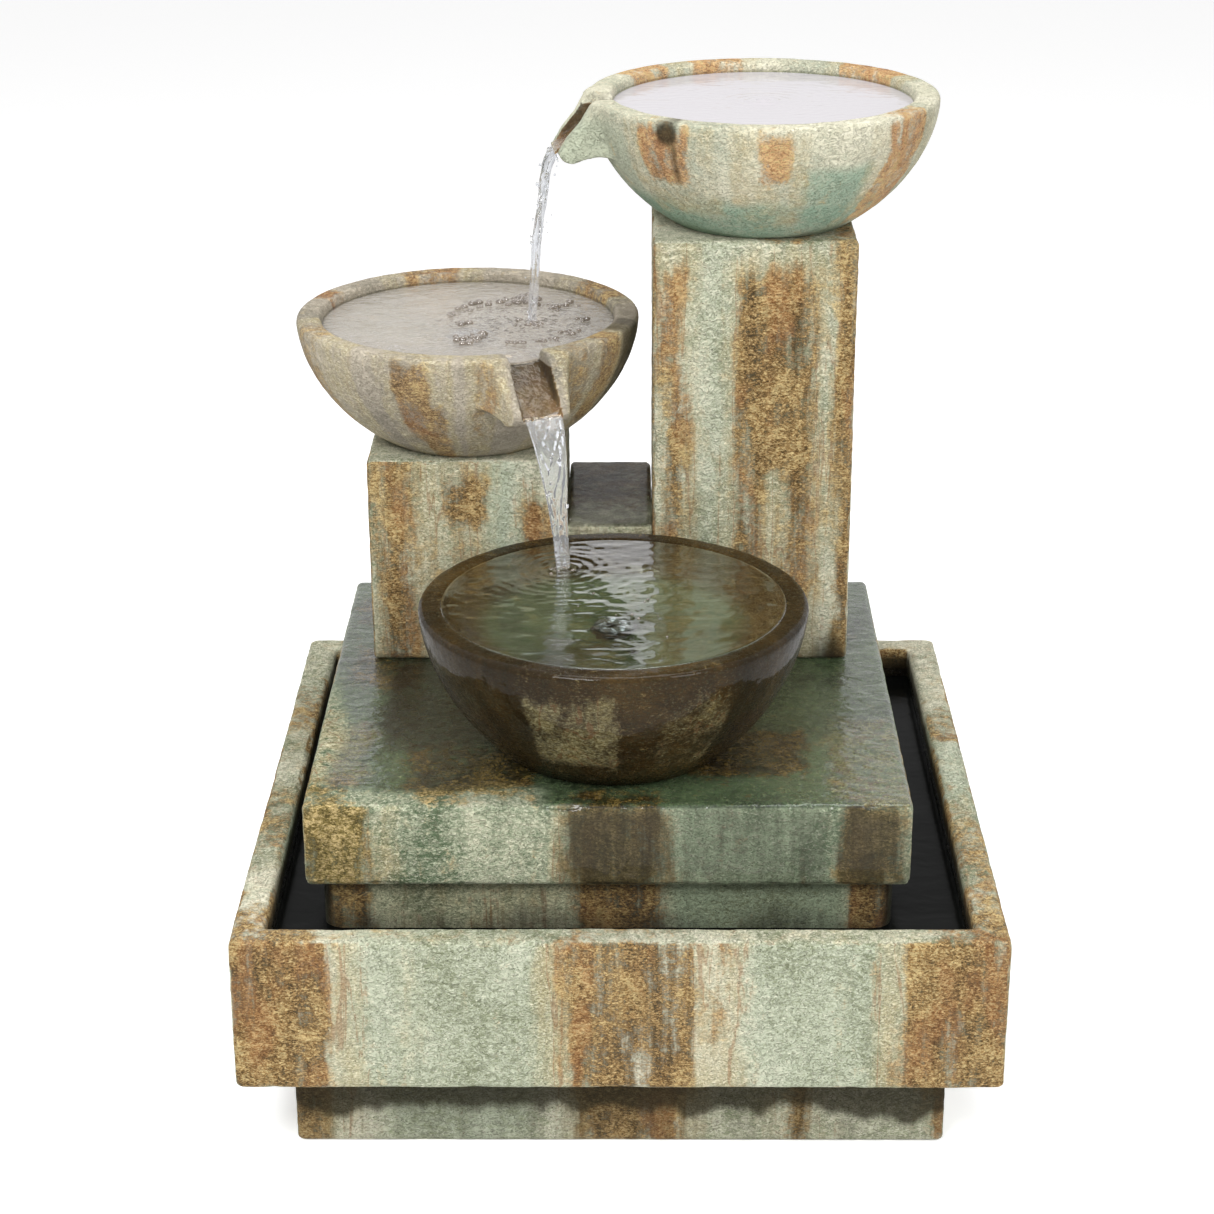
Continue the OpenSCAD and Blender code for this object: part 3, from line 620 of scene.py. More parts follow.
STONE = weathered_stone(
    "verdigris_stone", (196, 196, 172), (126, 132, 104), (228, 222, 200), (144, 110, 62), (54, 38, 15))
DECK_STONE = weathered_stone(
    "wet_slab_stone", (166, 172, 146), (84, 100, 74), (204, 202, 176), (122, 106, 52), (64, 52, 20),
    film=1.5, soak=0.14, gloss=0.75, swell=3.6, orange=0.1, verdigris=(118, 150, 118))
TOP_STONE = weathered_stone(
    "pale_bowl_stone", (206, 202, 178), (166, 170, 150), (224, 220, 200), (204, 160, 112), (130, 90, 54),
    grime=0.6, contrast=0.75)
MID_STONE = weathered_stone(
    "grey_bowl_stone", (170, 160, 144), (136, 130, 116), (194, 184, 166), (156, 124, 86), (84, 60, 32),
    grime=0.6, contrast=0.6)
LOW_STONE = weathered_stone(
    "wet_bowl_stone", (88, 68, 36), (50, 38, 18), (128, 102, 56), (70, 48, 20), (24, 15, 6),
    wetness=0.9, gloss=0.4, film=1.36, contrast=0.4, swell=1.0)


def lets_lamps_through(look):
    """Clear water darkens nothing behind it, so rays from lamps pass straight on."""
    path = look.node("ShaderNodeLightPath")
    open_air = look.node("ShaderNodeBsdfTransparent")
    choose = look.node("ShaderNodeMixShader")
    look.feed(choose.inputs[0], path.outputs["Is Shadow Ray"])
    look.feed(choose.inputs[1], look.surface.outputs[0])
    look.feed(choose.inputs[2], open_air.outputs[0])
    look.feed(look.output.inputs["Surface"], choose.outputs[0])


def water_look(name, tint, clear, rough=0.02, ripple=0.0, ripple_scale=60, shade=None, **surface):
    """Water, clear or clouded by its base colour; the clouding is a painted reflection on the top and middle
    bowls' water and painted shade on the basin's water and the bubbles. Where its stir field is high it breaks
    into streaks of `shade`, painted dark reflections.
    """
    look = Look(name, Base_Color=tint, Transmission_Weight=clear, Roughness=rough, IOR=1.333, **surface)
    if shade:
        wrinkle = look.noise(95, 4, 0.62, (1, 2.4, 1), 1.4)
        streaks = look.times(look.step(wrinkle, 0.5, 0.62), look.field("stir"))
        look.set("Base Color", look.mix(streaks, tint, shade))
    if ripple:
        waves = look.noise(ripple_scale, 3, 0.5, (1, 1.9, 1), 0.8)
        look.set("Normal", look.bump(waves, ripple, 1.0))
    if clear > 0.5:
        lets_lamps_through(look)
    return look.material


# the top bowl's water: its pale lilac base colour, which lets little through, is a painted reflection of the
# white surroundings
WATER_TOP = water_look("pale_painted_reflection_water", srgb(186, 182, 186), 0.12, 0.04, 0.6 * MM, 34)
# the middle bowl's water: the pale base colour mixed into it is a painted reflection of the white surroundings,
# and its dark streaks where it is stirred are painted dark reflections
WATER_MID = water_look("grey_painted_reflection_water", srgb(206, 200, 192), 0.62, 0.03, 2.4 * MM, 60, shade=srgb(84, 72, 66))
WATER_LOW = water_look("clear_water", srgb(206, 214, 184), 1.0, 0.015, 0.8 * MM, 40,
                       Coat_Weight=1.0, Coat_IOR=1.6, Coat_Roughness=0.02)
WATER_FALL = water_look("falling_water", srgb(246, 248, 252), 0.92, 0.02)
WATER_FILM = water_look("channel_water", srgb(244, 232, 208), 1.0, 0.02, 2.0 * MM, 80, Specular_IOR_Level=0.25)
# the basin's water: near black and opaque, painted shade for the basin lying in shade under the slab
WATER_TANK = water_look("painted_shade_water", srgb(8, 9, 8), 0.0, 0.2, 0.5 * MM, 25, Specular_IOR_Level=0.06)
# the bubbles: their darkish base colour, which half clouds them, is painted shade standing in for the dark rims
# round each bubble
BUBBLE = water_look("bubble_skin", srgb(136, 126, 116), 0.6, 0.02, Coat_Weight=1.0, Coat_IOR=1.6)


def moulded(name, colour, rough, scratch=0.25, **surface):
    """A plain moulded or turned part with faint scuffs and handling marks."""
    look = Look(name, **surface)
    scuff = look.noise(420, 4, 0.65, (1, 1, 3))
    stain = look.noise(55, 3, 0.5)
    light = srgb(*colour)
    shade = tuple(c * 0.62 for c in light[:3]) + (1.0,)
    look.set("Base Color", look.ramp(look.math("MULTIPLY_ADD", scuff, 0.4, look.times(stain, 0.6)),
                                     (0.35, shade), (0.62, light)))
    look.set("Roughness", look.math("MULTIPLY_ADD", scuff, scratch, rough - scratch / 2))
    look.set("Normal", look.bump(scuff, 0.15 * MM, 0.6))
    return look.material


def place(obj, material, body, slot, *stands_for):
    """Gives a finished piece its material and body, and hides the CAD nodes it stands for. slot is not used."""
    obj.data.materials.clear()
    obj.data.materials.append(material)
    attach(obj, body)
    if stands_for:
        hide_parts(*stands_for)
    return obj


# ---------- plinth, basin, riser and slab ----------

def cutter(low, high):
    """A plain box that is only used to cut with."""
    corners = np.array(list(itertools.product(*zip(low, high))))
    faces = [(0, 1, 3, 2), (4, 6, 7, 5), (0, 4, 5, 1), (2, 3, 7, 6), (0, 2, 6, 4), (1, 5, 7, 3)]
    return make_object("cutter", corners, faces, smooth=False)


WALL = 0.035
PLINTH_WALL = 0.060
RISER_WALL = 0.050
FLOOR_Z = BOX["basin"][0][2] + WALL
CORD_NOTCH = (0.035, 0.034)      # half width and height of the cords' way out under the plinth
DRAIN_NOTCH = (0.045, 0.024)     # the same for the notches that let water into the riser
HOSE_HOLE, LEAD_HOLE = 0.030, 0.014
CORE, CORE_CAP, CAP_THICK = 0.045, 0.024, 0.045      # the pedestals' cores, and their narrow upper ends
TANK_LEVELS = (0.2315, 0.2350)   # underside and top of the water in the basin


def make_plinth():
    low, high = BOX["plinth"]
    inner = (high[0] - low[0]) / 2 - PLINTH_WALL
    plinth = square_ring("plinth_stone", (low, high), inner, low[2], high[2], None, EDGE_ROUND, STONE_STEP)
    half, tall = CORD_NOTCH
    carve(plinth, cutter((-half, high[1] - PLINTH_WALL - 0.01, -0.01), (half, high[1] + 0.01, tall)))
    points = points_of(plinth)
    roughen(plinth, keep=ease((0.004 - points[:, 2]) / 0.003), seed=31)
    stain_block(plinth, low, high, [
        *patches("front", rust=[(-0.02, 0.055, 0.95), (0.44, 0.60, 1.0), (0.745, 0.79, 0.8),
                                (0.975, 1.02, 0.9)],
                 tan=[(-0.02, 0.11, 0.9), (0.39, 0.64, 0.9), (0.70, 0.84, 0.7)],
                 teal=[(0.14, 0.36, 0.7)]),
        # painted shade: the plinth's sides are darkened all over, and most from a little under halfway up to
        # the top, where the basin's overhang shades them
        *patches(*SIDES, dark=[(*FULL, 0.42, 1.8, 1.5), (*FULL, -0.8, 1.5, 0.42)]),
        *random_runs("right", 11, 3), *random_runs("left", 12, 3), *random_runs("back", 13, 3),
    ], seed=41)
    set_field(plinth, "wet", np.zeros(len(points)))
    return place(plinth, STONE, "fountain", "verdigris_stone", "plinth")


def make_basin():
    low, high = BOX["basin"]
    inner = (high[0] - low[0]) / 2 - WALL
    basin = square_ring("basin_stone", (low, high), inner, low[2], high[2], FLOOR_Z, EDGE_ROUND, STONE_STEP)
    stopper_low, stopper_high = BOX["cord_stopper"]
    carve(basin, cutter(stopper_low + [0.005, 0.005, -0.01], stopper_high - [0.005, 0.005, 0]))
    points = points_of(basin)
    roughen(basin, seed=51)
    fields = stain_block(basin, low, high, [
        *patches("front", rust=[(-0.02, 0.130, 1.0), (0.425, 0.600, 1.0), (0.860, 1.02, 1.0),
                                (0.612, 0.640, 0.3, 1.1, 0.75), (0.568, 0.590, 1.0),
                                (0.818, 0.832, 0.7, 1.1, 0.7)],
                 tan=[(-0.02, 0.175, 1.0), (0.385, 0.665, 1.0), (0.825, 1.02, 1.0), (0.21, 0.25, 0.55)],
                 teal=[(0.14, 0.42, 0.55), (0.66, 0.85, 0.6)]),
        *patches("top", rust=[(-0.1, 0.1, -0.1, 0.1, 0.8), (0.9, 1.1, -0.1, 0.1, 0.8),
                              (-0.1, 0.1, 0.25, 0.45, 0.6), (-0.1, 0.1, 0.65, 0.8, 0.65),
                              (0.9, 1.1, 0.1, 0.35, 0.6), (0.42, 0.60, -0.1, 0.1, 0.5),
                              (0.9, 1.1, 0.6, 0.75, 0.6)],
                 tan=[(*FULL, 0.45)], teal=[(0.14, 0.42, -0.1, 0.1, 0.5), (0.9, 1.1, 0.4, 0.62, 0.7)]),
        *patches("right", rust=[(0.02, 0.16, 0.95)]), *patches("left", rust=[(0.84, 0.98, 0.95)]),
        *random_runs("right", 14, 4), *random_runs("left", 15, 4), *random_runs("back", 16, 4),
    ], seed=61)
    # painted shade inside the basin: its inner walls and floor are darkened, more the deeper they lie under the
    # rim
    inside = (np.max(np.abs(points[:, :2]), axis=1) < inner + 0.001) & (points[:, 2] < high[2] - 0.008)
    depth = np.clip((high[2] - points[:, 2]) / 0.05, 0, 1)
    set_field(basin, "dark", np.maximum(fields["dark"], np.where(inside, 0.5 + 0.9 * depth, 0)))
    set_field(basin, "wet", np.where(inside & (points[:, 2] < 0.246), 1.0, 0.0))
    return place(basin, STONE, "fountain", "verdigris_stone", "basin")


def make_riser():
    low, high = BOX["riser"]
    inner = (high[0] - low[0]) / 2 - RISER_WALL
    riser = square_ring("riser_stone", (low, high), inner, low[2], high[2], None, 0.003, 0.006, corner=0.02)
    middle = (low[0] + high[0]) / 2
    wall_in, wall_out = RISER_WALL + 0.01, 0.01
    notch, tall = DRAIN_NOTCH
    under = low[2] - 0.01
    for x0, x1, y0, y1, up in [
            (high[0] - wall_in, high[0] + wall_out, -notch, notch, tall),
            (low[0] - wall_out, low[0] + wall_in, -notch, notch, tall),
            (middle - notch, middle + notch, low[1] - wall_out, low[1] + wall_in, tall),
            (-0.09, 0.21, high[1] - wall_in, high[1] + wall_out, 0.112)]:
        carve(riser, cutter((x0, y0, under), (x1, y1, low[2] + up)))
    points = points_of(riser)
    flat = ease((0.004 - np.minimum(points[:, 2] - low[2], high[2] - points[:, 2])) / 0.003)
    roughen(riser, keep=flat, seed=71)
    stain_block(riser, low, high, [
        *patches("front", rust=[(-0.02, 0.093, 0.9), (0.437, 0.604, 0.95), (0.92, 1.02, 0.95)],
                 teal=[(0.61, 0.92, 1.0)], tan=[(0.10, 0.43, 0.5)], dark=[(*FULL, -0.1, 0.75, 0.6)]),
        *patches("left", "right", dark=[(*FULL, 0.9)]), *patches("back", dark=[(*FULL, 0.7)]),
    ], seed=81)
    set_field(riser, "wet", np.where(points[:, 2] < 0.29, 0.8, 0.0))
    return place(riser, STONE, "fountain", "verdigris_stone", "riser")


def make_slab():
    low, high = BOX["slab"]
    slab = rounded_block("slab_stone", low, high, EDGE_ROUND, STONE_STEP)
    holes = {"supply_hose": HOSE_HOLE, "mid_light_stopper": LEAD_HOLE, "low_light_stopper": LEAD_HOLE}
    for node, radius in holes.items():
        middle = (BOX[node][0] + BOX[node][1]) / 2
        carve(slab, revolved("drill", [(radius, low[2] - 0.01), (radius, high[2] + 0.01)], middle, 32))
    points = points_of(slab)
    bowl_at = (BOX["low_bowl"][0] + BOX["low_bowl"][1]) / 2
    away = np.hypot(points[:, 0] - bowl_at[0], points[:, 1] - bowl_at[1])
    contact = np.where(points[:, 2] > high[2] - 0.003, ease((0.13 - away) / 0.012), 0.0)
    contact = np.maximum(contact, ease((low[2] + 0.004 - points[:, 2]) / 0.003))
    for name in ("tall_pedestal", "short_pedestal", "low_block"):
        foot_low, foot_high = BOX[name]
        gap = np.max(np.maximum(foot_low[:2] - points[:, :2], points[:, :2] - foot_high[:2]), axis=1)
        contact = np.maximum(contact, np.where(points[:, 2] > high[2] - 0.003, ease(-gap / 0.006 + 1), 0))
    roughen(slab, keep=contact, seed=91)
    fields = stain_block(slab, low, high, [
        *patches("front", rust=[(-0.02, 0.118, 1.0), (0.440, 0.598, 1.0), (0.882, 0.992, 1.0)],
                 tan=[(-0.02, 0.165, 0.8), (0.405, 0.61, 0.8), (0.86, 1.02, 0.6)], teal=[(0.60, 0.885, 0.7)],
                 dark=[(0.43, 0.61, 0.75), (0.88, 1.0, 0.75), (0.60, 0.88, 0.52),
                       (-0.1, 0.12, -0.1, 0.6, 0.3)]),
        *patches("top", teal=[(*FULL, 1.0)], dark=[(0.10, 0.42, 0.22, 0.80, 0.7)],
                 rust=[(0.17, 0.38, 0.04, 0.24, 0.95), (0.03, 0.15, 0.46, 0.66, 0.8),
                       (0.02, 0.14, 0.76, 0.92, 0.7), (0.64, 0.84, 0.10, 0.30, 0.95),
                       (0.44, 0.60, -0.1, 0.07, 0.8), (-0.02, 0.08, -0.05, 0.12, 0.7)],
                 tan=[(0.86, 1.05, 0.0, 0.35, 0.8), (-0.02, 0.10, 0.08, 0.34, 0.9)]),
        *patches("right", rust=[(0.02, 0.2, 0.9)]), *random_runs("right", 17, 4),
        *patches("left", rust=[(0.86, 0.99, 0.9)]), *random_runs("left", 18, 4), *random_runs("back", 19, 4),
    ], seed=101)
    top = face_weights(normals_of(slab))["top"]
    across = (points[:, 0] - low[0]) / (high[0] - low[0])
    inward = (points[:, 1] - low[1]) / (high[1] - low[1])
    edge = 0.045 * fractal(points, 9, 3, 5)
    dry = np.maximum(ease((0.085 - inward + edge) / 0.05) * ease((0.42 - across + edge) / 0.06),
                     ease((0.045 - across + edge) / 0.04) * ease((0.6 - inward) / 0.2))
    run_off = face_weights(normals_of(slab))["front"] * band(across, 0.42, 1.02, 0.06) * 0.3
    set_field(slab, "wet", np.maximum(top * (1 - dry), run_off))
    for name in ("teal", "dark"):
        set_field(slab, name, fields[name] * (1 - top * dry))
    set_field(slab, "tan", np.maximum(fields["tan"], 0.35 * top * dry))
    return place(slab, DECK_STONE, "fountain", "wet_slab_stone", "slab")


def make_block(name, node, stains, seed, flat_top=0.0):
    """A pedestal or low block: flat where something rests on it or where it rests, rough elsewhere."""
    low, high = BOX[node]
    block = rounded_block(name, low, high, EDGE_ROUND * 0.8, STONE_STEP)
    points = points_of(block)
    keep = ease((low[2] + 0.004 - points[:, 2]) / 0.003)
    if flat_top:
        away = np.hypot(points[:, 0] - (low[0] + high[0]) / 2, points[:, 1] - (low[1] + high[1]) / 2)
        keep = np.maximum(keep, np.where(points[:, 2] > high[2] - 0.003, ease((flat_top - away) / 0.01), 0))
    roughen(block, keep=keep, seed=seed)
    stain_block(block, low, high, stains, seed + 5)
    top = face_weights(normals_of(block))["top"]
    splash = 0.7 * ease((low[2] + 0.02 - points[:, 2]) / 0.03)
    set_field(block, "wet", splash if flat_top else np.maximum(splash, 0.5 * top))
    return place(block, STONE, "fountain", "verdigris_stone", node)


def core_drill(block, node, centre):
    """Opens the round core that the hose or a lead climbs through."""
    low, high = BOX[node]
    cap = high[2] - CAP_THICK
    outline = [(CORE, low[2] - 0.01), (CORE, cap), (CORE_CAP, cap + 0.0001), (CORE_CAP, high[2] + 0.01)]
    carve(block, revolved("drill", outline, centre, 48))


make_plinth()
make_basin()
make_riser()
make_slab()
tall = make_block("tall_pedestal_stone", "tall_pedestal", [
    *patches("front", rust=[(0.03, 0.17, -0.1, 0.95, 0.85), (0.40, 0.81, 0.45, 0.93, 1.0),
                            (0.40, 0.56, -0.1, 0.6, 0.95), (0.62, 0.80, 0.12, 0.6, 0.95),
                            (0.89, 1.02, 1.0)],
             tan=[(-0.02, 0.25, 0.85), (0.34, 0.86, -0.1, 0.98, 1.0), (0.85, 1.02, 1.0)],
             teal=[(0.14, 0.42, 0.4), (0.3, 0.62, -0.1, 0.3, 0.6)],
             dark=[(0.80, 1.02, -0.1, 0.04, 0.9), (0.17, 0.24, 0.1, 0.42, 0.4)]),
    *patches("top", rust=[(0.5, 0.8, -0.1, 0.2, 0.6), (0.85, 1.1, -0.1, 0.6, 0.7)]),
    *patches("right", rust=[(0.0, 0.2, 0.95)]), *random_runs("right", 21, 3),
    *patches("left", rust=[(0.85, 1.02, 0.9)]), *random_runs("left", 22, 3), *random_runs("back", 23, 3),
], 111, flat_top=0.112)
short = make_block("short_pedestal_stone", "short_pedestal", [
    *patches("front", rust=[(-0.02, 0.24, 0.3, 1.1, 0.75), (0.04, 0.24, -0.1, 0.42, 1.0),
                            (0.36, 0.63, 0.66, 0.97, 1.0), (0.24, 0.6, 0.1, 0.66, 0.55),
                            (0.80, 0.96, 0.55, 0.88, 1.0)],
             tan=[(-0.02, 0.68, 0.95), (0.76, 1.02, -0.1, 0.95, 0.9)], teal=[(0.57, 0.78, 0.75)]),
    *patches("right", rust=[(0.0, 0.25, 0.9)]), *random_runs("right", 24, 2),
    *patches("left", rust=[(0.8, 1.02, 0.9)]), *random_runs("left", 25, 3), *random_runs("back", 26, 3),
], 121, flat_top=0.112)
make_block("low_block_stone", "low_block", [
    *patches("top", dark=[(*FULL, 0.7)], rust=[(*FULL, 0.3, 1.1, 0.8)]),
    *patches("front", tan=[(*FULL, 0.8)], dark=[(*FULL, 0.5)]), *patches("back", rust=[(0.2, 0.7, 0.9)]),
], 131)
SUPPLY = (BOX["supply_hose"][0] + BOX["supply_hose"][1]) / 2
MID_AXIS = (BOX["mid_light_stopper"][0] + BOX["mid_light_stopper"][1]) / 2
LOW_AXIS = (BOX["low_light_stopper"][0] + BOX["low_light_stopper"][1]) / 2
core_drill(tall, "tall_pedestal", SUPPLY)
core_drill(short, "short_pedestal", MID_AXIS)


# ---------- bowls ----------

RIM_ROUND = 0.006
RIM_WIDTH = 0.028
RECESS = (0.045, 0.020)      # radius and height of the hollow in a bowl's foot
FLAT_FLOOR = 0.026           # radius of the flat floor that the fittings stand on
WATER_DROP = 0.012           # how far under its rim a spouted bowl's water stands


class Bowl:
    """Profile of a bowl standing on z, as CAD has it."""

    def __init__(self, centre, z, radius, foot, height, depth, power, bore):
        self.centre, self.z, self.radius, self.foot = centre, z, radius, foot
        self.height, self.depth, self.power, self.bore = height, depth, power, bore
        self.rim = z + height

    def outer(self, up):
        power, left = self.power, (self.height - up) / self.height
        share = 1 - (1 - (self.foot / self.radius) ** power) * left ** power
        return self.radius * share ** (1 / power)

    def inner(self, drop):
        return (self.radius - RIM_WIDTH) * max(0.0, 1 - (drop / self.depth) ** 2.2) ** (1 / 2.2)

    def outside(self):
        rise = self.height - RIM_ROUND
        outline = [(self.foot * s, self.z) for s in (0.3, 0.6, 0.9, 1.0)]
        outline += [(self.outer(up), self.z + up) for up in np.linspace(0, rise, 40)[1:]]
        outline += arc(self.radius - RIM_ROUND, self.rim - RIM_ROUND, RIM_ROUND, 15, 90, 5)
        return outline

    def hollow(self):
        """Outline of the hollow, from the middle of its floor up to where the rim's rounding starts."""
        drops = self.depth - (self.depth - RIM_ROUND) * np.linspace(0, 1, 36) ** 1.6
        wall = [(self.inner(drop), self.rim - drop) for drop in drops[1:]]
        wall = [(r, z) for r, z in wall if r > FLAT_FLOOR + 0.002]
        return [(FLAT_FLOOR * s, self.rim - self.depth) for s in (0.25, 0.6, 1.0)] + wall

    def blank(self, name):
        """The bowl as a solid lump, before its hollow is cut."""
        lid = [(self.radius * s, self.rim) for s in (0.9, 0.5, 0.2)]
        return revolved(name, self.outside() + lid, self.centre)

    def hollow_cut(self):
        mouth = arc(self.radius - RIM_WIDTH + RIM_ROUND, self.rim - RIM_ROUND, RIM_ROUND, 180, 90, 5)
        last = mouth[-1][0]
        outline = self.hollow() + mouth + [(last, self.rim + 0.01), (last * 0.5, self.rim + 0.01)]
        return revolved("hollow", outline, self.centre)

    def foot_cut(self):
        wide, high = RECESS
        outline = [(wide, self.z - 0.01), (wide, self.z + high), (self.bore, self.z + high + 0.0001),
                   (self.bore, self.rim - self.depth + 0.02)]
        return revolved("foot_cut", outline, self.centre, 64)


TOP = Bowl(SUPPLY, BOX["top_bowl"][0][2], 0.196, 0.098, 0.1428, 0.085, 1.85, 0.0125)
MID = Bowl(MID_AXIS, BOX["mid_bowl"][0][2], 0.196, 0.098, 0.1428, 0.085, 1.85, 0.0145)
LOW = Bowl(LOW_AXIS, BOX["low_bowl"][0][2], 0.208, 0.118, 0.162, 0.095, 1.75, 0.0145)
TOP_SPOUT, MID_SPOUT = math.radians(187), math.radians(293)
LIP_REACH, LIP_DROP = 0.232, 0.057
# A channel runs level as far as its bend, then slopes down to the lip.
CHANNEL_HALF, CHANNEL_DEPTH, CHANNEL_BEND = 0.022, 0.014, 0.165
CHANNEL_SLOPE = (LIP_DROP - CHANNEL_DEPTH - 0.001) / (LIP_REACH - CHANNEL_BEND)


def swept_slab(outline, half_widths, spread):
    """A solid with a side outline, whose half width follows half_widths along the outline's reach."""
    reach = np.array([p[0] for p in outline])
    half = np.interp(reach, *zip(*half_widths))
    loops = []
    for t in np.linspace(-1, 1, spread):
        loops.append(np.column_stack([reach, t * half, [p[1] for p in outline]]))
    return loft(loops)


def to_bowl(points, bowl, angle):
    """Points drawn round a bowl's axis with the spout along +X and the rim at 0, turned into place."""
    c, s = math.cos(angle), math.sin(angle)
    x, y, z = points.T
    return np.column_stack([bowl.centre[0] + c * x - s * y, bowl.centre[1] + s * x + c * y, bowl.rim + z])


def turned_slab(name, outline, half_widths, spread, bowl, angle):
    points, faces = swept_slab(outline, half_widths, spread)
    return make_object(name, to_bowl(points, bowl, angle), faces)


def spout_tool(bowl, angle):
    """The lump that a spout is worn down from: cheeks that narrow to a lip, and a cove under it."""
    r, tip, drop = bowl.radius, LIP_REACH, LIP_DROP
    outline = [(r - 0.060, 0), (r - 0.030, 0), (r - 0.008, 0), (r - 0.003, -0.002), (r + 0.001, -0.006),
               (r + 0.012, -0.024), (tip - 0.010, -0.040), (tip - 0.003, -drop + 0.006), (tip, -drop),
               (tip - 0.002, -drop - 0.005), (tip - 0.007, -drop - 0.010), (tip - 0.014, -drop - 0.012),
               (tip - 0.021, -drop - 0.010), (tip - 0.029, -drop - 0.006), (tip - 0.038, -drop - 0.003),
               (tip - 0.050, -drop - 0.002), (tip - 0.062, -drop - 0.004), (r - 0.060, -drop - 0.004)]
    widths = [(r - 0.060, 0.060), (r - 0.040, 0.060), (r - 0.016, 0.056), (r, 0.046), (r + 0.014, 0.038),
              (tip, 0.033)]
    return turned_slab("spout", outline, widths, 2, bowl, angle)


def channel_tool(bowl, angle):
    start, end = 0.1, LIP_REACH + 0.01
    outline = [(end, 0.01), (end, -CHANNEL_DEPTH - CHANNEL_SLOPE * (end - CHANNEL_BEND)),
               (CHANNEL_BEND, -CHANNEL_DEPTH), (start, -CHANNEL_DEPTH), (start, 0.01)]
    return turned_slab("channel", outline, [(start, CHANNEL_HALF), (end, CHANNEL_HALF)], 2, bowl, angle)


def stain_bowl(obj, bowl, stains, seed):
    """Fields of a bowl from rows of (start, end, bottom, top, strength), start and end in degrees from +X."""
    points, normals = points_of(obj), normals_of(obj)
    flat = points - [bowl.centre[0], bowl.centre[1], 0]
    azimuth = np.degrees(np.arctan2(flat[:, 1], flat[:, 0])) % 360 + 3 * fractal(points, (20, 20, 8), 3, seed)
    height = (points[:, 2] - bowl.z) / bowl.height + 0.06 * fractal(points, 18, 3, seed + 3)
    out = np.sum(normals[:, :2] * flat[:, :2], axis=1) > -0.02
    outer = np.where(out & (np.hypot(flat[:, 0], flat[:, 1]) > bowl.foot * 0.8), 1.0, 0.35)
    outer = np.maximum(outer, 0.8 * (points[:, 2] > bowl.rim - 0.016))
    fields = {name: np.zeros(len(points)) for name in FIELDS}
    for field, rows in stains.items():
        for start, end, bottom, top, strength in rows:
            middle, half = (start + end) / 2, (end - start) / 2
            off = np.abs((azimuth - middle + 180) % 360 - 180)
            value = strength * outer * ease((half - off) / 4 + 0.5) * band(height, bottom, top, 0.16)
            fields[field] = np.maximum(fields[field], value)
    for name, values in fields.items():
        set_field(obj, name, values)
    return points, normals, fields


def make_spouted(node, bowl, angle, material, stains, seed):
    """A bowl with its spout and channel, its recessed foot and the bore for what comes up through its floor."""
    stone = bowl.blank(node + "_stone")
    carve(stone, spout_tool(bowl, angle), "UNION")
    carve(stone, bowl.hollow_cut())
    carve(stone, channel_tool(bowl, angle))
    carve(stone, bowl.foot_cut())
    remesh(stone, 0.0024, 4)
    points = points_of(stone)
    flat = points[:, :2] - bowl.centre[:2]
    ahead = flat @ [math.cos(angle), math.sin(angle)]
    offset = np.abs(flat @ [-math.sin(angle), math.cos(angle)])
    skin = np.array([bowl.outer(up) for up in np.clip(points[:, 2] - bowl.z, 0, bowl.height)])
    joint = ease((0.022 - np.abs(np.hypot(*flat.T) - skin)) / 0.012)
    joint = joint * (offset > CHANNEL_HALF + 0.004) * (ahead > 0.11)
    under = (offset <= CHANNEL_HALF + 0.004) & (ahead > 0.13) & (points[:, 2] < bowl.rim - LIP_DROP - 0.008)
    soften(stone, np.maximum(joint * (points[:, 2] < bowl.rim - 0.006), 0.7 * under), 24)
    points = points_of(stone)
    keep = ease((bowl.z + 0.006 - points[:, 2]) / 0.004)
    near = np.hypot(points[:, 0] - bowl.centre[0], points[:, 1] - bowl.centre[1])
    keep = np.maximum(keep, ease((0.03 - near) / 0.004))
    roughen(stone, coarse=0.6, fine=0.7, wear=0, keep=keep, seed=seed)
    points = points_of(stone)
    points[:, 2] = np.maximum(points[:, 2], bowl.z + 0.0003)
    set_points(stone, points)
    points, normals, fields = stain_bowl(stone, bowl, stains, seed + 4)
    local = points - [bowl.centre[0], bowl.centre[1], bowl.rim]
    along = local[:, 0] * math.cos(angle) + local[:, 1] * math.sin(angle)
    beside = np.abs(-local[:, 0] * math.sin(angle) + local[:, 1] * math.cos(angle))
    reach = np.hypot(local[:, 0], local[:, 1])
    facing_up = normals[:, 2] > 0.05
    inside = facing_up & (reach < bowl.radius - RIM_WIDTH + 0.002) & (local[:, 2] < -WATER_DROP + 0.002)
    channel = (along > 0.12) & (beside < CHANNEL_HALF + 0.0015) & (local[:, 2] > -LIP_DROP - 0.01)
    trough = channel & (normals[:, 2] > -0.1) & (local[:, 2] < -0.0125)
    set_field(stone, "wet", np.where(inside, 0.9, np.where(trough, 0.25, 0.0)))
    shade = 0.86 - 4 * np.clip(along - 0.18, 0, 0.06)
    set_field(stone, "dark", np.maximum(fields["dark"], np.where(trough, shade, 0)))
    set_field(stone, "rust", np.maximum(fields["rust"], np.where(trough, 0.9, 0)))
    return place(stone, material, node + "_set", "pale_bowl_stone", node)


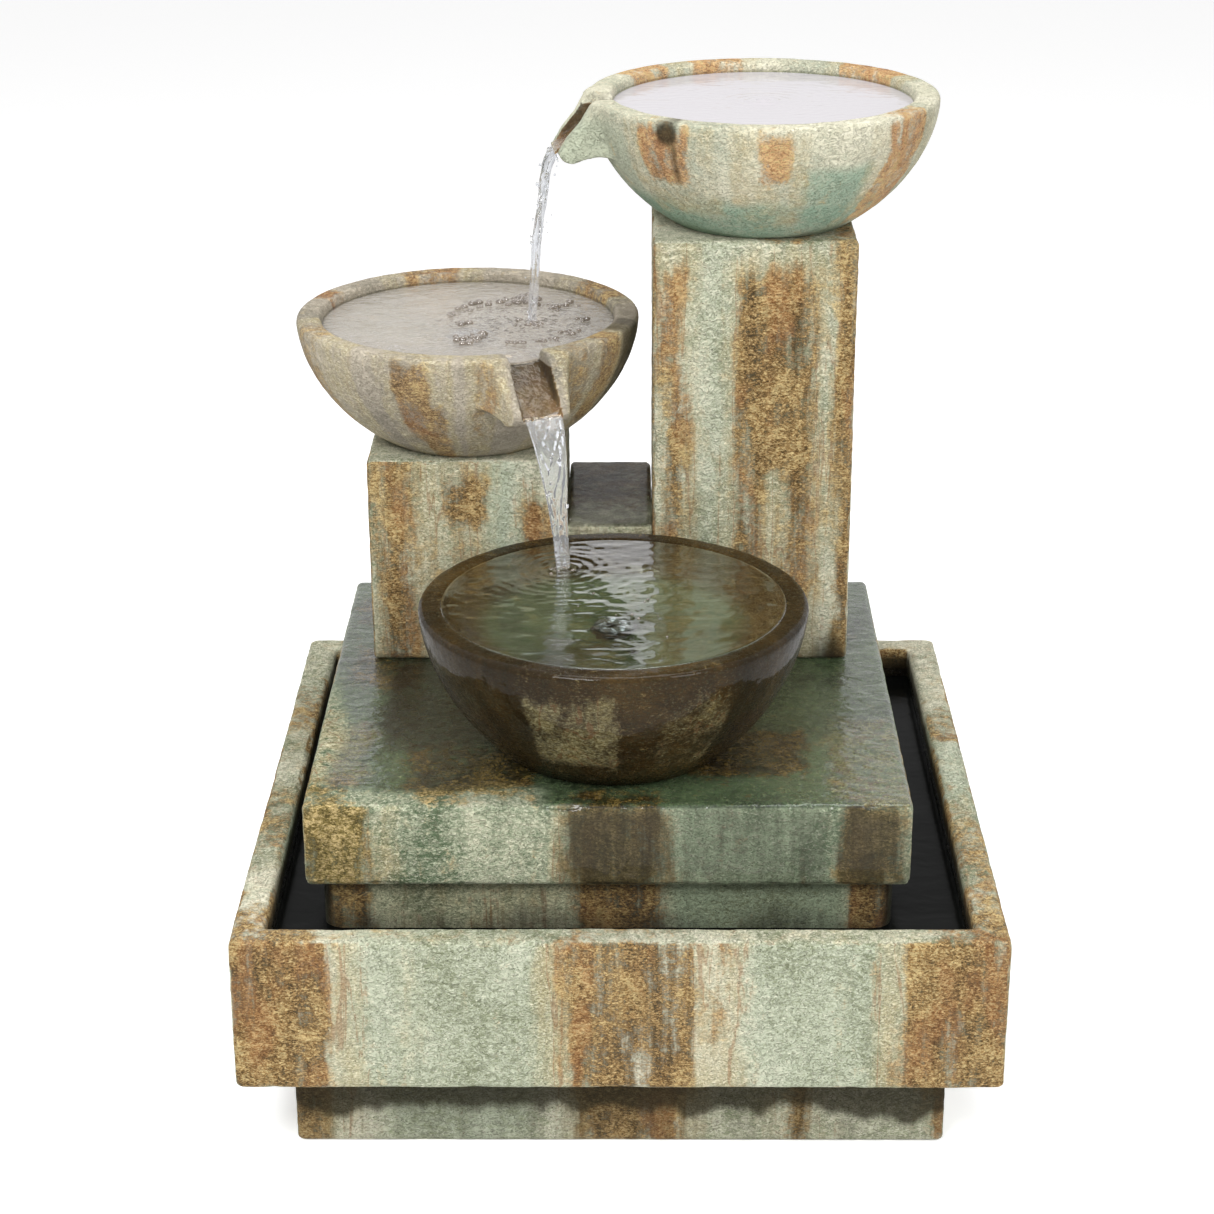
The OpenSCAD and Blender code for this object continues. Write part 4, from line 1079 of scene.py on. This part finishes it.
make_spouted("top_bowl", TOP, TOP_SPOUT, TOP_STONE, {
    "rust": [(223, 242, 0.5, 0.97, 0.95), (267, 278, 0.55, 0.96, 0.85), (310, 332, 0.1, 1.0, 0.8),
             (28, 58, 0.1, 1.2, 1.0), (96, 116, 0.1, 1.2, 0.9), (128, 150, 0.2, 1.2, 0.9)],
    "tan": [(216, 252, 0.2, 1.0, 0.7), (256, 284, 0.15, 1.0, 0.75), (302, 342, 0.0, 1.0, 0.7),
            (90, 136, -0.1, 1.2, 0.9), (18, 64, -0.1, 1.2, 0.9)],
    "teal": [(200, 350, -0.2, 0.36, 1.9), (281, 306, -0.1, 0.66, 1.5), (180, 216, -0.1, 0.9, 0.8)],
    "dark": [(231, 238, 0.86, 1.0, 1.3), (235, 238, 0.5, 0.9, 0.7)],
}, 141)
make_spouted("mid_bowl", MID, MID_SPOUT, MID_STONE, {
    "rust": [(247, 259, 0.2, 1.0, 0.85), (251, 264, -0.1, 0.6, 0.8), (274, 280, 0.3, 1.0, 0.6),
             (196, 214, -0.1, 1.2, 0.6), (305, 318, 0.3, 1.2, 0.6), (322, 334, 0.2, 1.2, 0.7),
             (20, 46, 0.1, 1.2, 0.8), (96, 120, 0.1, 1.2, 0.8), (150, 164, 0.2, 1.2, 0.7)],
    "tan": [(240, 268, -0.1, 1.1, 0.8), (271, 284, 0.0, 1.2, 0.9), (186, 232, -0.1, 1.2, 0.8),
            (300, 345, -0.1, 1.2, 0.9), (8, 56, -0.1, 1.2, 0.8), (86, 130, -0.1, 1.2, 0.8)],
    "teal": [(130, 180, -0.1, 0.8, 0.6)],
    "dark": [(336, 352, -0.1, 1.2, 0.6)],
}, 151)


def make_low_bowl():
    mouth = arc(LOW.radius - RIM_WIDTH + RIM_ROUND, LOW.rim - RIM_ROUND, RIM_ROUND, 90, 180, 5)
    flat = np.linspace(LOW.radius - RIM_ROUND, LOW.radius - RIM_WIDTH + RIM_ROUND, 6)[1:-1]
    rim = [(r, LOW.rim) for r in flat]
    outline = LOW.outside() + rim + mouth + LOW.hollow()[::-1]
    outline = [p for i, p in enumerate(outline)
               if i == 0 or np.hypot(*np.subtract(p, outline[i - 1])) > 0.0006]
    bowl = revolved("low_bowl_stone", outline, LOW.centre, 300)
    carve(bowl, LOW.foot_cut())
    remesh(bowl, 0.0026, 4)
    points = points_of(bowl)
    near = np.hypot(points[:, 0] - LOW.centre[0], points[:, 1] - LOW.centre[1])
    keep = np.maximum(ease((LOW.z + 0.006 - points[:, 2]) / 0.004), ease((0.03 - near) / 0.004))
    roughen(bowl, coarse=0.7, fine=0.8, wear=0, keep=keep, seed=161)
    points, _, fields = stain_bowl(bowl, LOW, {
        "tan": [(243, 272, 0.25, 0.85, 0.9), (286, 306, 0.2, 0.8, 0.55), (206, 226, 0.1, 0.7, 0.45),
                (60, 100, 0.1, 0.9, 0.7), (150, 170, 0.1, 0.9, 0.6), (340, 350, 0.2, 0.9, 0.5)],
        "dark": [(190, 243, 0.0, 1.2, 0.5), (306, 352, 0.0, 1.2, 0.5)],
    }, 171)
    hollow = (near < LOW.radius - RIM_WIDTH + 0.001) & (points[:, 2] > LOW.rim - LOW.depth - 0.004)
    deep = np.where(hollow, ease((0.155 - near) / 0.03), 0.0)
    set_field(bowl, "teal", np.maximum(fields["teal"], deep))
    set_field(bowl, "wet", np.ones(len(points)))
    return place(bowl, LOW_STONE, "fountain", "wet_bowl_stone", "low_bowl")


make_low_bowl()


# ---------- water ----------

def rings(x, y, centre, length, reach, height):
    """Round ripples that spread from a point and die away."""
    away = np.hypot(x - centre[0], y - centre[1])
    return height * np.sin(2 * math.pi * away / length) * np.exp(-away / reach)


def pool(name, bowl, drop, waves, material, body, full=False):
    """A bowl's water: a rippled surface `drop` under the rim over a body that fills the hollow."""
    step, turns = 0.0026, 240
    level = bowl.rim - drop
    edge = bowl.inner(drop) if not full else bowl.radius - RIM_WIDTH + RIM_ROUND * 0.5
    wall = [(bowl.inner(d) + 0.0012, bowl.rim - d - 0.0006) for d in
            bowl.depth - (bowl.depth - max(drop, RIM_ROUND) - 0.004) * np.linspace(0, 1, 14) ** 1.6][1:]
    bottom = [(wall[0][0] * s, bowl.rim - bowl.depth - 0.0012) for s in (0.3, 0.8)]
    surface = [(edge + 0.0012, level - 0.0008)] + [(r, level) for r in np.arange(edge, 0.003, -step)]
    start = len(bottom) + len(wall) + 1
    obj = revolved(name, bottom + wall + surface, bowl.centre, turns)
    points = points_of(obj)
    top = np.arange(len(points)) >= start * turns
    top[-2] = False   # the hub of the bottom's fan
    x, y = points[:, 0], points[:, 1]
    reach = np.hypot(x - bowl.centre[0], y - bowl.centre[1])
    still = ease((edge - reach) / 0.01)
    points[:, 2] += np.where(top, waves(x, y) * still, 0)
    set_points(obj, points)
    return place(obj, material, body, "water")


def chop(x, y, size, height, seed):
    """Small crossing wavelets."""
    flat = np.column_stack([x, y, np.zeros(len(x))])
    return height * fractal(flat, (1 / size, 1 / (size * 0.6), 1), 3, seed)


TOP_LAND = (-0.102, 0.170)    # where the top bowl's fall lands
MID_LAND = (-0.062, -0.054)   # where the middle bowl's fall lands
LOW_DROP = 0.0008
MID_LEVEL, LOW_LEVEL = MID.rim - WATER_DROP, LOW.rim - LOW_DROP
FALL_GRAIN = (0.0011, 2)      # voxel size and rounds of smoothing of the falling water


def upwelling(x, y, centre, radius, height):
    return height * np.exp(-(np.hypot(x - centre[0], y - centre[1]) / radius) ** 2)


pool("top_bowl_water", TOP, WATER_DROP, lambda x, y: (
    rings(x, y, TOP.centre, 0.013, 0.028, 1.1 * MM) + upwelling(x, y, TOP.centre, 0.022, 2.2 * MM)
    + chop(x, y, 0.05, 0.25 * MM, 3)), WATER_TOP, "top_bowl_set")
mid_pool = pool("mid_bowl_water", MID, WATER_DROP, lambda x, y: (
    rings(x, y, TOP_LAND, 0.011, 0.045, 1.6 * MM) + chop(x, y, 0.018, 1.0 * MM, 5)), WATER_MID, "mid_bowl_set")
from_landing = np.linalg.norm(points_of(mid_pool)[:, :2] - TOP_LAND, axis=1)
set_field(mid_pool, "stir", np.exp(-(from_landing / 0.11) ** 2))
pool("low_bowl_water", LOW, LOW_DROP, lambda x, y: (
    rings(x, y, MID_LAND, 0.012, 0.035, 0.9 * MM) + chop(x, y, 0.020, 0.9 * MM, 7)
    + rings(x, y, (LOW.centre[0] + 0.03, LOW.centre[1] + 0.03), 0.017, 0.06, 0.25 * MM)),
    WATER_LOW, "fountain", full=True)


def make_tank_water():
    low, high = BOX["basin"]
    inner = WALL - 0.0005
    bottom, top = TANK_LEVELS
    sheet = rounded_block("basin_water", np.array([low[0] + inner, low[1] + inner, bottom]),
                          np.array([high[0] - inner, high[1] - inner, top]), 0.001, 0.008)
    points = points_of(sheet)
    points[:, 2] += np.where(points[:, 2] > 0.233, chop(points[:, 0], points[:, 1], 0.05, 0.4 * MM, 9), 0)
    set_points(sheet, points)
    return place(sheet, WATER_TANK, "fountain", "water")


make_tank_water()


def strand(path, half_widths, half_thick, side, around=16, seed=0, jitter=0.0):
    """A flattened tube of water along a path, with its wide direction along `side`."""
    path = np.asarray(path)
    side = np.asarray(side, float)
    loops = []
    for i, p in enumerate(path):
        ahead = path[min(i + 1, len(path) - 1)] - path[max(i - 1, 0)]
        ahead = ahead / np.linalg.norm(ahead)
        across = side - ahead * (side @ ahead)
        across = across / np.linalg.norm(across)
        out = np.cross(across, ahead)
        angles = np.linspace(0, 2 * math.pi, around, endpoint=False)
        loops.append(p + np.outer(np.cos(angles) * half_widths[i], across)
                     + np.outer(np.sin(angles) * half_thick[i], out))
    points, faces = loft(loops)
    if jitter:
        centre = np.concatenate([np.repeat(path, around, axis=0), path[:1], path[-1:]])
        outward = points - centre
        swell = 1 + jitter * fractal(points, (240, 240, 60), 3, seed)
        points = centre + outward * swell[:, None]
    return points, faces


def joined(name, parts):
    """One object of several (points, faces) parts."""
    points, faces, start = [], [], 0
    for part_points, part_faces in parts:
        points.append(part_points)
        faces += [[i + start for i in face] for face in part_faces]
        start += len(part_points)
    return make_object(name, np.concatenate(points), faces)


def drop_ball(centre, radius, tall=1.0):
    """A round drop, a little taller or flatter than a ball."""
    around = 10
    angles = np.linspace(0, 2 * math.pi, around, endpoint=False)
    loops = []
    for a in np.linspace(0.25, math.pi - 0.25, 6):
        r, z = radius * math.sin(a), -radius * tall * math.cos(a)
        loops.append(np.column_stack([centre[0] + r * np.cos(angles), centre[1] + r * np.sin(angles),
                                      np.full(around, centre[2] + z)]))
    return loft(loops)


def fall_path(start, end, count, early):
    """A falling arc: steady forwards, faster and faster downwards."""
    s = np.linspace(0, 1, count)
    start, end = np.array(start), np.array(end)
    path = start + (end - start) * s[:, None]
    path[:, 2] = start[2] + (end[2] - start[2]) * (early * s + (1 - early) * s * s)
    return path, s


def make_channel_water(name, bowl, angle, body):
    """The thin water that runs down a spout's channel to its lip, bedded in the stone under it."""
    thick, half, start = 0.0016, CHANNEL_HALF + 0.001, 0.132
    reach = np.linspace(start, LIP_REACH + 0.003, 36)
    floor = -CHANNEL_DEPTH - CHANNEL_SLOPE * np.clip(reach - CHANNEL_BEND, 0, 1)
    top = np.maximum(floor + thick, np.where(reach < CHANNEL_BEND + 0.001, -WATER_DROP - 0.0002, -1))
    outline = [*zip(reach, top), *zip(reach[::-1], floor[::-1] - thick)]
    film = turned_slab(name, outline, [(start, half), (LIP_REACH, half)], 18, bowl, angle)
    return place(film, WATER_FILM, body, "water")


def lip_at(bowl, angle, sideways):
    local = np.array([[LIP_REACH + 0.002, sideways, -LIP_DROP]])
    return to_bowl(local, bowl, angle)[0]


def make_top_fall():
    start, end = lip_at(TOP, TOP_SPOUT, 0.0), (*TOP_LAND, MID_LEVEL - 0.002)
    side = (0.85, 0.5, 0)
    path, s = fall_path(start, end, 60, 0.25)
    wide = np.interp(s, [0, 0.06, 0.3, 0.75, 1], [0.0125, 0.0095, 0.0075, 0.0055, 0.0070])
    thick = np.interp(s, [0, 0.1, 0.5, 1], [0.0026, 0.0028, 0.0026, 0.0034])
    parts = [strand(path, wide * 0.8, thick, side, seed=3, jitter=0.35)]
    for k, phase in enumerate((0.0, 1.5, 2.8, 4.1, 5.2)):
        swing = np.array(side) * (wide * 0.85 * np.cos(phase + 5.2 * s + 0.6 * k))[:, None]
        out = np.array([0.35, -0.9, 0]) * (thick * 1.4 * np.sin(phase + 5.2 * s))[:, None]
        rope = 0.0021 + 0.0006 * np.sin(9 * s + k)
        parts.append(strand(path + swing + out, rope, 0.0019 + 0 * s, side, 8, 5 + k, 0.3))
    draw = np.random.default_rng(8)
    for _ in range(34):
        t = draw.uniform(0.08, 1.0)
        at = path[int(t * (len(path) - 1))] + np.array([draw.normal(0, 0.0065), draw.normal(0, 0.004), 0])
        parts.append(drop_ball(at, draw.uniform(0.0009, 0.0022), 1.5))
    fall = joined("top_fall_water", parts)
    remesh(fall, *FALL_GRAIN)
    return place(fall, WATER_FALL, "top_bowl_set", "water")


def make_mid_fall():
    half = CHANNEL_HALF - 0.003
    end = np.array((*MID_LAND, LOW_LEVEL - 0.002))
    left, right = lip_at(MID, MID_SPOUT, -half), lip_at(MID, MID_SPOUT, half)
    middle = lip_at(MID, MID_SPOUT, 0.0)
    side = (right - left) / np.linalg.norm(right - left)
    path, s = fall_path(middle, end, 64, 0.22)
    fallen = 0.22 * s + 0.78 * s * s
    wide = half * np.interp(fallen, [0, 0.23, 0.41, 0.59, 0.77, 1], [1, 0.82, 0.64, 0.47, 0.37, 0.33])
    sheet = np.interp(fallen, [0, 0.4, 1], [0.0012, 0.0014, 0.0026])
    parts = [strand(path, wide, sheet, side, 28, 11, 0.3)]
    for sign in (-1, 1):
        rope = np.interp(s, [0, 0.2, 0.5, 1], [0.0022, 0.0024, 0.0022, 0.0020])
        parts.append(strand(path + side * (sign * wide)[:, None], rope, rope * 0.9, side, 10, 13 + sign, 0.35))
    for k in range(7):
        sway = 0.8 * np.sin(0.9 * k + (4 + 0.7 * k) * s)
        rib = path + side * (wide * sway)[:, None] + np.array([0, 0.0012 * (-1) ** k, 0])
        rope = 0.0012 + 0.0005 * np.sin(17 * s + 2 * k)
        parts.append(strand(rib, rope, rope, side, 8, 21 + k, 0.6))
    draw = np.random.default_rng(9)
    for _ in range(30):
        t = draw.uniform(0.25, 1.0)
        at = path[int(t * (len(path) - 1))]
        at = at + side * draw.normal(0, 0.006) + np.array([0, draw.normal(0, 0.003), 0])
        parts.append(drop_ball(at, draw.uniform(0.0008, 0.0019), 1.6))
    fall = joined("mid_fall_water", parts)
    remesh(fall, *FALL_GRAIN)
    return place(fall, WATER_FALL, "mid_bowl_set", "water")


make_channel_water("top_channel_water", TOP, TOP_SPOUT, "top_bowl_set")
make_channel_water("mid_channel_water", MID, MID_SPOUT, "mid_bowl_set")
make_top_fall()
make_mid_fall()


def make_foam(name, clusters, level, seed, body):
    """Half-sunk bubbles in loose clusters of (x, y, spread, count, largest)."""
    draw = np.random.default_rng(seed)
    parts = []
    for x, y, spread, count, largest in clusters:
        for _ in range(count):
            radius = largest * draw.uniform(0.3, 1.0) ** 1.5
            at = (x + draw.normal(0, spread), y + draw.normal(0, spread), level + radius * 0.1)
            parts.append(drop_ball(at, radius, 0.8))
    return place(joined(name, parts), BUBBLE, body, "water")


make_foam("mid_foam", [(-0.112, 0.270, 0.008, 20, 0.007), (-0.123, 0.262, 0.012, 12, 0.006),
                       (-0.167, 0.247, 0.010, 16, 0.006), (-0.194, 0.209, 0.006, 10, 0.005),
                       (-0.182, 0.168, 0.006, 10, 0.0055), (-0.169, 0.112, 0.010, 30, 0.0065),
                       (-0.073, 0.242, 0.010, 14, 0.006), (-0.105, 0.172, 0.008, 24, 0.0045),
                       (-0.056, 0.135, 0.006, 10, 0.0045), (-0.081, 0.104, 0.006, 10, 0.0045),
                       (-0.119, 0.096, 0.005, 8, 0.004), (-0.040, 0.188, 0.006, 8, 0.0045)],
          MID_LEVEL, 6, "mid_bowl_set")
make_foam("low_foam", [(MID_LAND[0], MID_LAND[1], 0.010, 14, 0.0035), (-0.03, -0.17, 0.03, 8, 0.002),
                       (0.03, -0.19, 0.03, 8, 0.002)], LOW_LEVEL, 7, "fountain")


# ---------- fittings carried over from CAD ----------

# slot: colour, roughness, other surface values, and the CAD nodes made of it
FITTINGS = {
    "brass_fitting": ((196, 160, 88), 0.34, {"Metallic": 1.0}, ["outlet_nozzle", "outlet_locknut"]),
    "seal_rubber": ((132, 52, 36), 0.6, {}, ["pump_seal_ring"]),
    "black_rubber": ((26, 26, 27), 0.75, {}, ["outlet_gasket", "pump_feet", "pump_cable_gland", "shaft_bushes",
                                              "cord_stopper", "mid_light_stopper", "low_light_stopper"]),
    "steel_clamp": ((200, 203, 206), 0.3, {"Metallic": 1.0}, ["hose_clamps"]),
    "hose_rubber": ((52, 56, 58), 0.55, {}, ["supply_hose"]),
    "pump_plastic": ((34, 38, 44), 0.42, {}, ["pump_body", "volute_cover", "outlet_barb", "light_junction_box",
                                              "junction_lid"]),
    "screen_plastic": ((46, 50, 56), 0.48, {}, ["intake_screen"]),
    "dial_plastic": ((38, 108, 148), 0.4, {}, ["flow_dial"]),
    "impeller_plastic": ((228, 224, 214), 0.42, {}, ["impeller"]),
    "magnet_metal": ((84, 86, 90), 0.38, {"Metallic": 0.8}, ["rotor_magnet"]),
    "shaft_ceramic": ((240, 238, 230), 0.18, {}, ["impeller_shaft"]),
    "light_plastic": ((20, 22, 27), 0.35, {}, ["mid_light_housing", "low_light_housing"]),
    "light_lens_clear": ((226, 234, 242), 0.12, {"scratch": 0.08, "Transmission_Weight": 0.9, "IOR": 1.49},
                         ["mid_light_lens", "low_light_lens"]),
    "diode_plastic": ((176, 178, 190), 0.25,
                      {"Emission_Color": (0.92, 0.95, 1.0, 1.0), "Emission_Strength": 0.8},
                      ["mid_light_diodes", "low_light_diodes"]),
    "lead_rubber": ((34, 36, 38), 0.6, {}, ["mid_light_lead", "low_light_lead"]),
}
for slot_name, (colour, rough, extra, nodes) in FITTINGS.items():
    finish = moulded(slot_name, colour, rough, **extra)
    for node in nodes:
        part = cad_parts[node]
        part.data.materials.clear()
        part.data.materials.append(finish)
